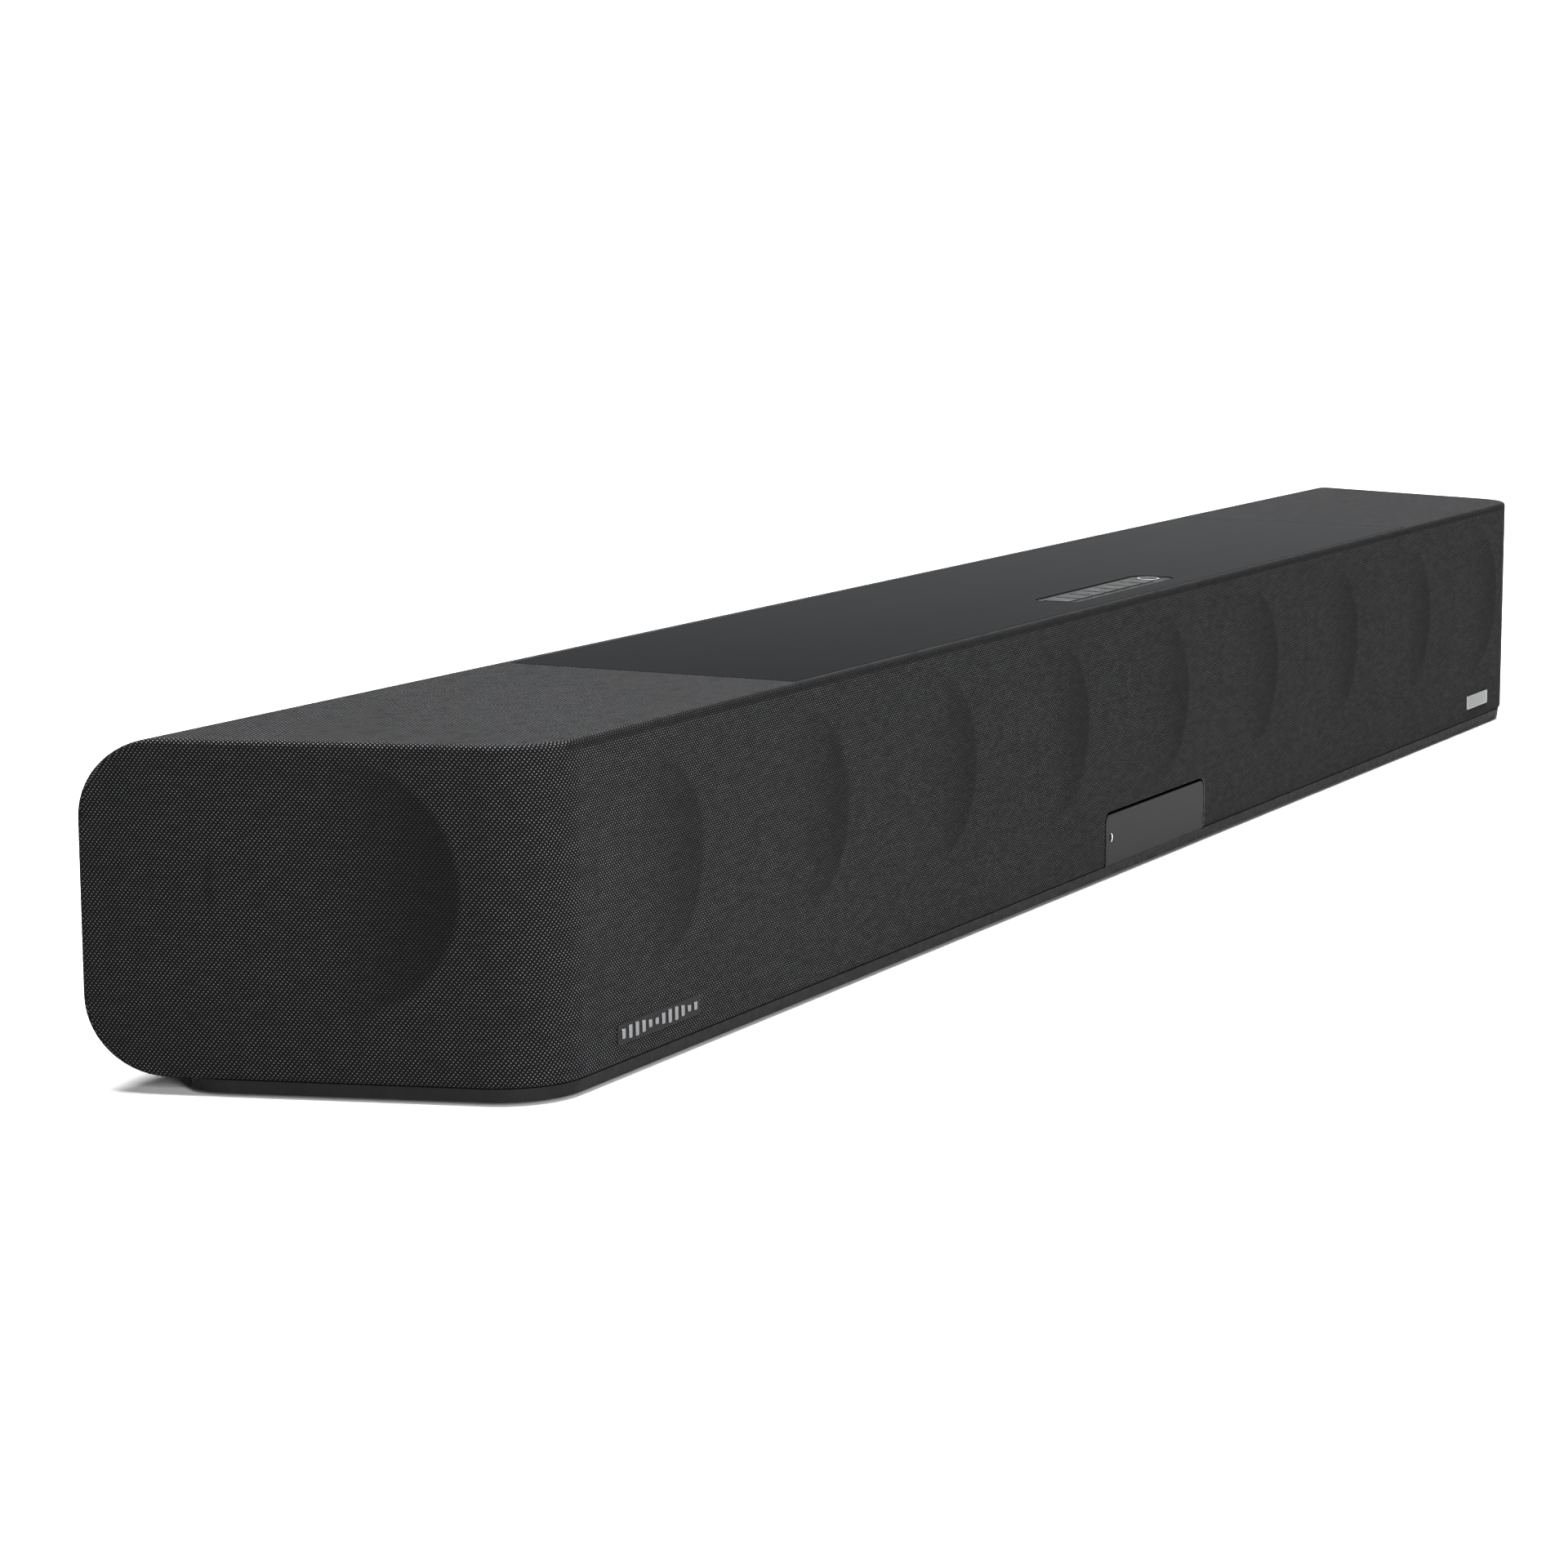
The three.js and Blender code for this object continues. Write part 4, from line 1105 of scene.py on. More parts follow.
def bolt(bm, place, r, h, size, material=0):
    """A pan-headed screw standing on a flange, with a cross recess."""
    for k in range(4):
        spot = place @ Matrix.Rotation(math.tau * (k + 0.5) / 4, 4, "Z") @ Matrix.Translation((r, 0, h))
        head = [(0.0002, 0), (size, 0), (size, 0.3 * size), (0.75 * size, 0.55 * size)]
        lathe(bm, head + [(0.32 * size, 0.6 * size), (0.2 * size, 0.25 * size), (0, 0.2 * size)],
              spot, 16, material)


def woofer(node, cone_node, place, scale, name, cone_name, cone_body):
    """A full-range driver: pressed basket with spokes, rubber surround, spider and magnet, and a
    paper cone with its dust cap and voice coil on a body of its own. The outlines are (radius,
    height) in millimetres of a full-size driver, with a third value where the material changes."""
    k = scale / 1000
    bm = bmesh.new()

    def turned(pairs):
        lathe(bm, [(pair[0] * k, pair[1] * k, *pair[2:]) for pair in pairs], place, 64)

    turned([(44.2, -3.2), (48, -3.2), (48, -0.5), (47.5, 0), (45.2, 0), (44.6, -0.4), (44.2, -3.2)])
    turned([(45.4, -3.3), (45.4, -4.6), (44.2, -6.2), (43.2, -6.2), (43.8, -3.3), (45.4, -3.3)])
    roll = [(44.3, -2.6, 1), (44.0, -2.1, 1)]
    for i in range(9):
        angle = math.pi * i / 8
        roll.append((40.1 + 3.6 * math.cos(angle), -3.2 + 2.4 * math.sin(angle), 1))
    roll += [(36.1, -3.3, 1), (36.1, -3.7, 1)]
    for i in range(9):
        angle = math.pi * (1 - i / 8)
        roll.append((40.1 + 3.2 * math.cos(angle), -3.7 + 2.1 * math.sin(angle), 1))
    turned(roll + [(44.3, -3.1, 1), (44.3, -2.6, 1)])
    for i in range(8):
        angle = math.tau * (i + 0.5) / 8
        spoke(bm, place, angle, (44.8 * k, -5.4 * k), (37.6 * k, -24.6 * k), 4.2 * k, 1.1 * k)
    turned([(34, -24.4), (38, -24.4), (38, -26), (34, -27), (14.2, -27), (14.2, -25.7), (34, -24.4)])
    spider = [(34.4, -22.6, 3)]
    for i in range(25):
        spider.append((34 - i * 18.4 / 24, -22.9 + 0.7 * math.sin(i * math.pi / 2), 3))
    spider += [(15.4, -23.6, 3), (34.4, -23.8, 3), (34.4, -22.6, 3)]
    turned(spider)
    turned([(0, -27.6, 2), (31, -27.6, 2), (33.6, -28, 2), (34, -28.6, 2), (34, -41.2, 2),
            (33.4, -42, 2), (0, -42, 2)])
    turned([(0, -42.2, 4), (31.5, -42.2, 4), (32.5, -42.8, 4), (32.5, -48.6, 4), (31.5, -49.8, 4),
            (8, -50, 4), (7, -48, 4), (0, -48, 4)])
    turned([(0, -27, 4), (11.3, -27, 4), (11.3, -44, 4), (0, -44, 4)][::-1])
    bolt(bm, place, 46.3 * k, -0.4 * k, 1.35 * k, 4)
    looks = looks_of("basket", "surround", "magnet", "spider", "zinc")
    piece(name, bm, looks, node)

    bm = bmesh.new()
    skin = [(0, -13.8, 0), (4, -14.3, 0), (8, -15.6, 0), (11.4, -17.8, 0), (12.8, -19.2, 0)]
    skin += [(13.6, -19.1, 1), (13.9, -18.7, 1)]
    for i in range(1, 19):
        t = i / 18
        sag = -1.1 * math.sin(math.pi * t)
        rib = 0.22 * (1 if i % 3 == 1 else 0)
        skin.append((13.9 + 21.7 * t, -18.7 + 15.6 * t + sag + rib, 1))
    skin += [(35.6, -4.0, 1)]
    for i in range(1, 11):
        t = 1 - i / 10
        skin.append((13.8 + 21.6 * t, -20.2 + 15.9 * t - 1.1 * math.sin(math.pi * t), 1))
    former = [(13.6, -20.6, 2), (13.5, -33.8, 2), (12.7, -33.8, 2), (12.7, -20.4, 2), (0, -16.5, 2)]
    lathe(bm, [(r * k, h * k, m) for r, h, m in skin + former], place, 64)
    for i in range(7):
        h = -27.4 - i * 0.8
        lathe(bm, [(12.8 * k, (h + 0.35) * k, 2), (13.68 * k, (h + 0.35) * k, 2),
                   (13.68 * k, (h - 0.35) * k, 2), (12.8 * k, (h - 0.35) * k, 2)], place, 40)
    looks = looks_of("dust_cap", "paper", "copper")
    piece(cone_name, bm, looks, cone_node, cone_body)


def tweeter(node, place, name):
    """A dome tweeter: faceplate with a waveguide, dome behind three thin bars, and a magnet. Its
    outlines are in millimetres too."""
    bm = bmesh.new()

    def turned(pairs):
        lathe(bm, [(pair[0] / 1000, pair[1] / 1000, *pair[2:]) for pair in pairs], place, 64)

    guide = [(15.2 + 14.8 * t, -9.4 + 8.9 * t**0.6) for t in (i / 12 for i in range(13))]
    turned([(15.2, -12), *guide, (31.2, -0.2), (42.8, 0), (43.4, -0.5), (44, 0), (47.4, 0),
            (48, -0.6), (48, -3.4), (46, -3.5), (27.2, -13.8), (15.2, -13.8), (15.2, -12)])
    dome = [(12.4 * math.sin(a), -10.2 + 4.6 * math.cos(a), 1) for a in
            (math.pi / 2 * i / 10 for i in range(11))]
    turned([*dome, (13.2, -10.9, 2), (14.2, -10, 2), (15.1, -10.9, 2), (15.1, -12, 2), (0, -12, 2)])
    turned([(0, -14, 3), (26, -14, 3), (27, -14.8, 3), (27, -27.4, 3), (26, -28.2, 3), (0, -28.2, 3)])
    turned([(0, -28.4, 4), (25, -28.4, 4), (25.6, -29, 4), (25.6, -35.2, 4), (24.8, -36, 4), (0, -36, 4)])
    for i in range(3):
        spoke(bm, place, math.tau * i / 3, (0.002, -0.0036), (0.0225, -0.0032), 0.0007, 0.0009)
    turned([(0, -3.9), (2.8, -3.9), (3.2, -3.4), (2.6, -2.6), (0, -2.2)])
    bolt(bm, place, 0.0456, -0.0004, 0.0013, 4)
    looks = looks_of("inner", "dome", "surround", "magnet", "zinc")
    piece(name, bm, looks, node)


def forwards(node):
    """The place of a driver in the front baffle: its own +Z along -Y, its flange's face at 0."""
    low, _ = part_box(node)
    centre = middle(node)
    return Matrix.Translation((centre.x, low[1], centre.z)) @ Matrix.Rotation(math.pi / 2, 4, "X")


def endwards(node, side):
    """The place of a tweeter in a raked end."""
    low, high = span(node)
    flange = (high.z - low.z) / 2
    y = low.y + flange * math.cos(RAKE_ANGLE)
    x = (high.x if side > 0 else low.x) - side * flange * math.sin(RAKE_ANGLE)
    out = Vector((side * math.cos(RAKE_ANGLE), -math.sin(RAKE_ANGLE), 0))
    return Matrix.Translation((x, y, middle(node).z)) @ out.to_track_quat("Z", "Y").to_matrix().to_4x4()


def drivers():
    for i in range(1, 7):
        node = f"woofer_{i}"
        woofer(node, f"woofer_cone_{i}", forwards(node), 1, f"driver_{i}", f"cone_{i}",
               f"woofer_cone_{i}_body")
    for name in ("left", "centre", "right"):
        tweeter(f"front_tweeter_{name}", forwards(f"front_tweeter_{name}"), f"dome_{name}")
    for name, side in (("left", -1), ("right", 1)):
        tweeter(f"side_tweeter_{name}", endwards(f"side_tweeter_{name}", side), f"end_dome_{name}")
        node = f"height_driver_{name}"
        low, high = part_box(node)
        scale = (high[2] - low[2]) / DRIVER_DEPTH
        place = Matrix.Translation((middle(node).x, (low[1] + high[1]) / 2, high[2]))
        woofer(node, f"height_cone_{name}", place, scale, f"up_driver_{name}", f"up_cone_{name}",
               f"height_cone_{name}_body")


# ---- Rear cover, connector bay and sockets ----------------------------------------------------

SOCKET_NODES = ["mains_inlet", "video_sockets", "optical_socket", "ethernet_socket"]
BAND_SCREWS = (0.43, 0.52, 0.6)  # the screws in each side band, from the middle outwards
SCREW_POCKET_R = 0.0042
SCREW_POCKET = 0.0018  # its depth
VENT_START = 0.196  # the back's vents: where they start on each side
VENT_PITCH = 0.0088
VENT_LOW = 0.048  # the lowest row's height
VENT_RISE = 0.0175  # from one row to the next


def rear_section(inset, steps=14):
    """The (y, z) outline of the back from the flat top round to the flat underside."""
    r = REAR_CORNER_R - inset
    edge_y, top, low = HI.y - REAR_CORNER_R, HI.z - REAR_CORNER_R, LO.z + REAR_CORNER_R
    points = []
    for cz, start in ((low, -90), (top, 0)):
        points += [
            (edge_y + r * math.cos(a), cz + r * math.sin(a))
            for a in (math.radians(start + 90 * i / steps) for i in range(steps + 1))
        ]
    return points


def rear_cover():
    _, high = span("rear_cover")
    wall, gap = 0.003, 0.0003
    outer, inner = rear_section(0), rear_section(wall)
    bm = bmesh.new()
    prism(bm, outer + inner[::-1], -SEAM_X + gap, SEAM_X - gap, sideways)
    made = piece("back_shell", bm, MATERIALS["casing"], "rear_cover")
    bay_low, bay_high = span("connector_bay")
    cutter = bmesh.new()
    bay = rounded(bay_low.x - gap, bay_high.x + gap, -0.01, bay_high.z + gap, 0.004, 6, 0)
    prism(cutter, bay, 0, high.y + 0.01, facing)
    for side in (-1, 1):
        for row in range(3):
            for i in range(16):
                x = side * (VENT_START + VENT_PITCH * i)
                z = VENT_LOW + VENT_RISE * row
                slot = rounded(x - 0.0011, x + 0.0011, z - 0.0068, z + 0.0068, 0.001, 3)
                prism(cutter, slot, high.y - 0.0012, high.y + 0.001, facing)
    for x, z in cover_screws():
        prism(cutter, arc(x, z, SCREW_POCKET_R, 0, 348, 29), high.y - SCREW_POCKET, high.y + 0.001, facing)
    plate = rounded(-0.06, 0.06, 0.0685, 0.0925, 0.002, 5)
    prism(cutter, plate, high.y - 0.0005, high.y + 0.001, facing)
    carve(made, cutter)
    soften(made, 0.0005)
    for side, name in ((-1, "left"), (1, "right")):
        bm = bmesh.new()
        outer_x = HI.x - FRAME_INSET * RAKE_STRETCH
        inner_x = outer_x - END_RAKE * wall
        ends = [(SEAM_X + gap, HI.y - wall), (inner_x, HI.y - wall), (outer_x, HI.y), (SEAM_X + gap, HI.y)]
        prism(bm, [(side * x, y) for x, y in ends], LO.z + REAR_CORNER_R + gap, HI.z - REAR_CORNER_R - gap)
        made = piece(f"back_band_{name}", bm, MATERIALS["casing"], "rear_cover")
        cutter = bmesh.new()
        for x in BAND_SCREWS:
            hole = arc(side * x, middle("rear_cover").z, SCREW_POCKET_R, 0, 348, 29)
            prism(cutter, hole, HI.y - SCREW_POCKET, HI.y + 0.001, facing)
        carve(made, cutter)
        soften(made, 0.0004)
    bm = bmesh.new()
    spots = cover_screws()
    for side in (-1, 1):
        spots += [(side * x, middle("rear_cover").z) for x in BAND_SCREWS]
    for x, z in spots:
        place = Matrix.Translation((x, HI.y - SCREW_POCKET, z)) @ Matrix.Rotation(-math.pi / 2, 4, "X")
        head = [(0, 0.0003), (0.0006, 0.0003), (0.0011, 0.001), (0.002, 0.0012), (0.0033, 0.0008),
                (0.0037, 0.0001), (0.0037, 0), (0, 0)]
        lathe(bm, head[::-1], place, 24)
    piece("back_screws", bm, MATERIALS["black_steel"], "rear_cover")


def cover_screws():
    """Places of the screws in the middle of the back."""
    high_row, low_row = HI.z - REAR_CORNER_R - 0.004, LO.z + REAR_CORNER_R + 0.001
    spots = [(side * x, high_row) for side in (-1, 1) for x in (0.03, 0.165, 0.36)]
    return spots + [(side * x, low_row) for side in (-1, 1) for x in (0.17, 0.36)]


def connector_bay():
    low, high = span("connector_bay")
    wall = BAY_WALL
    bm = bmesh.new()
    block(bm, low.x, high.x, low.y, high.y, low.z, high.z)
    made = piece("bay_shell", bm, MATERIALS["casing"], "connector_bay")
    cutter = bmesh.new()
    inside = rounded(low.x + wall, high.x - wall, low.z - 0.01, high.z - wall, 0.003, 5, 0)
    prism(cutter, inside, low.y + wall, high.y + 0.001, facing)
    carve(made, cutter)
    cutter = bmesh.new()
    for node in SOCKET_NODES:
        a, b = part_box(node)
        hole = rounded(a[0] - 0.0002, b[0] + 0.0002, a[2] - 0.0002, b[2] + 0.0002, 0.0008, 3)
        prism(cutter, hole, low.y - 0.001, low.y + wall + 0.001, facing)
    for i in range(24):
        x = low.x + (high.x - low.x) * (i + 0.5) / 24
        groove = rounded(x - 0.001, x + 0.001, low.y + wall + 0.006, high.y - 0.004, 0.0009, 3)
        prism(cutter, groove, high.z - wall - 0.001, high.z - wall + 0.0008)
    carve(made, cutter)
    soften(made, 0.0003)


def hollow_block(name, node, holes, depth, looks, r=0.0008):
    """A socket's housing with holes cut from its rear face: each an (x, z) outline."""
    low, high = span(node)
    bm = bmesh.new()
    prism(bm, rounded(low.x, high.x, low.z, high.z, r, 3), low.y, high.y, facing)
    made = piece(name, bm, looks, node)
    cutter = bmesh.new()
    for hole in holes:
        prism(cutter, hole, high.y - depth, high.y + 0.001, facing)
    carve(made, cutter)
    soften(made, 0.00025)
    return low, high


def mains_inlet():
    centre = middle("mains_inlet")
    hollow = rounded(centre.x - 0.011, centre.x + 0.011, centre.z - 0.007, centre.z + 0.007, 0.0065, 8)
    _, high = hollow_block("inlet_body", "mains_inlet", [hollow], 0.014, MATERIALS["inner"], r=0.002)
    bm = bmesh.new()
    for side in (-1, 1):
        pin = Matrix.Translation((centre.x + side * 0.0043, high.y - 0.0138, centre.z))
        pin = pin @ Matrix.Rotation(-math.pi / 2, 4, "X")
        lathe(bm, [(0, 0.0118), (0.0006, 0.0118), (0.0012, 0.0111), (0.0012, 0), (0, 0)][::-1], pin, 20)
    piece("inlet_pins", bm, MATERIALS["plated"], "mains_inlet")


def video_sockets():
    """Four trapezoid sockets with folded metal shells and a contact tongue in each."""
    centre = middle("video_sockets")
    pitch, half, tall = 0.024, 0.0074, 0.0028
    spots = [centre.x + (i - 1.5) * pitch for i in range(4)]

    def outline(x, grow=0.0):
        a, h, slant = half + grow, tall + grow, 0.0022
        right = [(a - slant, -h), (a, slant - h), (a, h)]
        around = right + [(-b, c) for b, c in reversed(right)]
        return [(x + b, centre.z + c) for b, c in around]

    holes = [outline(x) for x in spots]
    _, high = hollow_block("video_body", "video_sockets", holes, 0.009, MATERIALS["inner"])
    bm = bmesh.new()
    for x in spots:
        ring = outline(x, -0.0001) + outline(x, -0.0001)[:1]
        ribbon(bm, ring, 0.0005, high.y - 0.0088, high.y - 0.0001, way=facing)
        back, tip, tongue = high.y - 0.0088, high.y - 0.0022, centre.z - 0.0004
        block(bm, x - 0.0058, x + 0.0058, back, tip, tongue, tongue + 0.001, 1)
        for i in range(10):
            at = x - 0.005 + i * 0.0111 / 10
            block(bm, at, at + 0.00045, back, tip - 0.0002, tongue - 0.00015, tongue, 2)
    looks = looks_of("plated", "inner", "gold")
    piece("video_shells", bm, looks, "video_sockets")


def optical_socket():
    centre = middle("optical_socket")
    hole = rounded(centre.x - 0.004, centre.x + 0.004, centre.z - 0.004, centre.z + 0.004, 0.0012, 3)
    _, high = hollow_block("optical_body", "optical_socket", [hole], 0.008, MATERIALS["inner"])
    bm = bmesh.new()
    flap = rounded(centre.x - 0.0037, centre.x + 0.0037, centre.z - 0.0037, centre.z + 0.0037, 0.001, 3)
    prism(bm, flap, high.y - 0.0022, high.y - 0.0014, facing)
    pull, z = high.y - 0.0015, centre.z + 0.0026
    block(bm, centre.x - 0.0022, centre.x + 0.0022, pull, pull + 0.0004, z, z + 0.0006)
    piece("optical_flap", bm, MATERIALS["casing"], "optical_socket", bevel=0.00015)


def ethernet_socket():
    centre = middle("ethernet_socket")
    hole = rounded(centre.x - 0.006, centre.x + 0.006, centre.z - 0.0045, centre.z + 0.0045, 0.0004, 2)
    low, high = hollow_block("network_body", "ethernet_socket", [hole], 0.01, MATERIALS["inner"])
    bm = bmesh.new()
    for i in range(8):
        x = centre.x - 0.0037 + i * 0.00106
        spoke_top, depth = centre.z + 0.0036, high.y - 0.0096
        block(bm, x - 0.0002, x + 0.0002, depth, high.y - 0.0032, spoke_top - 0.0004, spoke_top, 1)
        block(bm, x - 0.0002, x + 0.0002, depth, depth + 0.0004, centre.z - 0.001, spoke_top, 1)
    rim = rounded(low.x + 0.0004, high.x - 0.0004, low.z + 0.0004, high.z - 0.0004, 0.0006, 3)
    ribbon(bm, rim + rim[:1], 0.0006, high.y - 0.006, high.y, way=facing)
    looks = looks_of("plated", "gold")
    piece("network_contacts", bm, looks, "ethernet_socket")
    bm = bmesh.new()
    for side, look in ((-1, 0), (1, 1)):
        x = centre.x + side * 0.0042
        lamp = rounded(x - 0.0011, x + 0.0011, high.z - 0.0021, high.z - 0.0009, 0.0003, 2)
        prism(bm, lamp, high.y - 0.002, high.y, facing, look)
    looks = looks_of("amber", "green")
    piece("network_lamps", bm, looks, "ethernet_socket")


# ---- Boards and heat sink -----------------------------------------------------------------------

BOARD_LOOKS = ("board", "chip", "plated", "copper")
RESIN, METAL, COPPER = 1, 2, 3  # their places in BOARD_LOOKS
SPARE_PITCH = (0.0065, 0.006)  # of the rows of small parts


def chip(bm, x, y, w, d, z, tall, legs):
    """A moulded chip lying on a board, with bent legs along two sides."""
    block(bm, x - w / 2, x + w / 2, y - d / 2, y + d / 2, z + 0.0003, z + tall, RESIN)
    lathe(bm, [(0, 0), (0.0005, 0), (0.0005, 0.0001), (0, 0.0001)],
          Matrix.Translation((x - w * 0.36, y - d * 0.36, z + tall)), 12, METAL)
    for side in (-1, 1):
        for i in range(legs):
            at = x - w * 0.42 + w * 0.84 * i / max(legs - 1, 1)
            edge = y + side * d / 2
            out = edge + side * 0.0011
            a, b = sorted((edge, out))
            block(bm, at - 0.0002, at + 0.0002, a, b, z + tall * 0.4, z + tall * 0.5, METAL)
            a, b = sorted((out, out - side * 0.0003))
            block(bm, at - 0.0002, at + 0.0002, a, b, z, z + tall * 0.5, METAL)


def can(bm, x, y, z, r, tall):
    """An electrolytic capacitor: sleeve with a rolled groove and a bare vented top."""
    outline = [(0, 0, RESIN), (r - 0.0004, 0, RESIN), (r, 0.0005, RESIN), (r, 0.0018, RESIN),
               (r - 0.0005, 0.0024, RESIN), (r, 0.003, RESIN), (r, tall - 0.0006, RESIN),
               (r - 0.0006, tall, RESIN), (r - 0.0016, tall, METAL), (r - 0.002, tall - 0.0003, METAL),
               (0, tall - 0.0003, METAL)]
    lathe(bm, outline, Matrix.Translation((x, y, z)), 32)
    for across in (0, 1):
        a, b = (0.7 * r, 0.0003) if across else (0.0003, 0.7 * r)
        block(bm, x - a, x + a, y - b, y + b, z + tall - 0.0003, z + tall - 0.0001, METAL)


def choke(bm, x, y, z, w, d, tall):
    """A shielded power choke: square ferrite block with a round top and two feet."""
    block(bm, x - w / 2, x + w / 2, y - d / 2, y + d / 2, z + 0.0008, z + tall * 0.9, RESIN)
    r = min(w, d) * 0.42
    lathe(bm, [(0, 0), (r, 0), (r, tall * 0.08), (r - 0.0006, tall * 0.1), (0, tall * 0.1)][::-1],
          Matrix.Translation((x, y, z + tall * 0.9)), 32, COPPER)
    for side in (-1, 1):
        foot, reach = x + side * w * 0.3, d / 2 + 0.0004
        block(bm, foot - 0.001, foot + 0.001, y - reach, y + reach, z, z + 0.001, METAL)


def small_parts(bm, x0, x1, y0, y1, z, count, avoid):
    """Rows of small surface parts on the free places of a board."""
    step_x, step_y = SPARE_PITCH
    made = 0
    for i in range(int((x1 - x0) / step_x)):
        for j in range(int((y1 - y0) / step_y)):
            x, y = x0 + step_x * (i + 0.5), y0 + step_y * (j + 0.5)
            if any(abs(x - a) < w / 2 + 0.003 and abs(y - b) < d / 2 + 0.003 for a, b, w, d in avoid):
                continue
            kind = (i * 7 + j * 5) % 4
            if kind == 3:
                continue
            w, d, tall = ((0.002, 0.0012, 0.0006), (0.0012, 0.002, 0.0005), (0.003, 0.0026, 0.0011))[kind]
            block(bm, x - w / 2, x + w / 2, y - d / 2, y + d / 2, z, z + tall, RESIN if kind == 2 else METAL)
            made += 1
            if made >= count:
                return


def lying_board(bm, low, high):
    """A board on four posts; returns the height of its top."""
    top = BOARD_LEVEL + BOARD_THICK
    prism(bm, rounded(low.x, high.x, low.y, high.y, 0.002, 4), BOARD_LEVEL, top)
    for x in (low.x + 0.006, high.x - 0.006):
        for y in (low.y + 0.006, high.y - 0.006):
            post = [(0, 0), (0.003, 0), (0.003, BOARD_LEVEL - low.z), (0, BOARD_LEVEL - low.z)]
            lathe(bm, post, Matrix.Translation((x, y, low.z)), 6, METAL)
            head = [(0, 0), (0.0028, 0), (0.0024, 0.0014), (0.0008, 0.0016), (0.0005, 0.0009), (0, 0.0009)]
            lathe(bm, head, Matrix.Translation((x, y, top)), 20, METAL)
    return top


def amplifier_board():
    low, high = span("amplifier_board")
    middle_x = (low.x + high.x) / 2
    bm = bmesh.new()
    top = lying_board(bm, low, high)
    avoid = []
    for k in (-1.5, -0.5, 0.5, 1.5):
        x, y = middle_x + k * 0.038, high.y - 0.014
        choke(bm, x, y, top, 0.02, 0.016, 0.014)
        avoid.append((x, y, 0.02, 0.016))
    for k in (-1, 0, 1):
        x, y = middle_x + k * 0.042, low.y + 0.024
        chip(bm, x, y, 0.014, 0.0115, top, 0.0045, 14)
        avoid.append((x, y, 0.016, 0.016))
    for x in (low.x + 0.006, high.x - 0.006):
        avoid += [(x, y, 0.008, 0.008) for y in (low.y + 0.006, high.y - 0.006)]
    small_parts(bm, low.x + 0.008, high.x - 0.008, low.y + 0.002, high.y - 0.026, top, 260, avoid)
    looks = looks_of(*BOARD_LOOKS)
    piece("amplifier", bm, looks, "amplifier_board", bevel=0.00015, segments=1)


def heat_sink():
    low, high = span("heat_sink")
    bm = bmesh.new()
    block(bm, low.x, high.x, low.y, high.y, low.z, low.z + 0.004)
    count = 17
    for i in range(count):
        x = low.x + 0.001 + (high.x - low.x - 0.0034) * i / (count - 1)
        fin = [(x, low.z + 0.0038), (x + 0.0024, low.z + 0.0038), (x + 0.0017, high.z), (x + 0.0007, high.z)]
        prism(bm, fin, low.y, high.y, facing)
    for x in (low.x + 0.0125, high.x - 0.0125):
        lathe(bm, [(0, 0), (0.0026, 0), (0.0026, 0.0014), (0.0018, 0.0018), (0, 0.0018)][::-1],
              Matrix.Translation((x, middle("heat_sink").y, low.z + 0.004)), 20, 1)
    piece("fins", bm, looks_of("alloy", "zinc"), "heat_sink", bevel=0.0002)


def power_supply_board():
    low, high = span("power_supply_board")
    bm = bmesh.new()
    top = lying_board(bm, low, high)
    x, y = low.x + 0.045, low.y + 0.036
    block(bm, x - 0.021, x + 0.021, y - 0.014, y + 0.014, top, top + 0.03, 1)
    block(bm, x - 0.016, x + 0.016, y - 0.022, y + 0.022, top + 0.004, top + 0.028, 3)
    block(bm, x - 0.0165, x + 0.0165, y - 0.0225, y + 0.0225, top + 0.01, top + 0.022, 4)
    for offset in (0.1, 0.13):
        can(bm, low.x + offset, low.y + 0.02, top, 0.0118, high.z - top)
    toroid = Matrix.Translation((low.x + 0.115, low.y + 0.05, top + 0.014))
    toroid = toroid @ Matrix.Rotation(math.pi / 2, 4, "X")
    for i in range(26):
        angle = math.tau * i / 26
        turn = toroid @ Matrix.Rotation(angle, 4, "Z") @ Matrix.Translation((0.0098, 0, 0))
        turn = turn @ Matrix.Rotation(math.pi / 2, 4, "X")
        winding = [(0.0028, -0.0007), (0.0041, -0.0007), (0.0041, 0.0007), (0.0028, 0.0007)]
        lathe(bm, winding + winding[:1], turn, 10, 3)
    for i in range(5):
        y = low.y + 0.008 + i * 0.0125
        block(bm, high.x - 0.021, high.x - 0.009, y, y + 0.009, top, top + 0.011, 5 if i % 2 else 1)
    avoid = [(low.x + 0.045, low.y + 0.036, 0.046, 0.05), (low.x + 0.115, low.y + 0.03, 0.058, 0.066),
             (high.x - 0.015, low.y + 0.034, 0.016, 0.07)]
    small_parts(bm, low.x + 0.004, high.x - 0.004, low.y + 0.002, high.y - 0.002, top, 60, avoid)
    looks = looks_of(*BOARD_LOOKS, "tape", "casing")
    piece("power_supply", bm, looks, "power_supply_board", bevel=0.0002, segments=1)


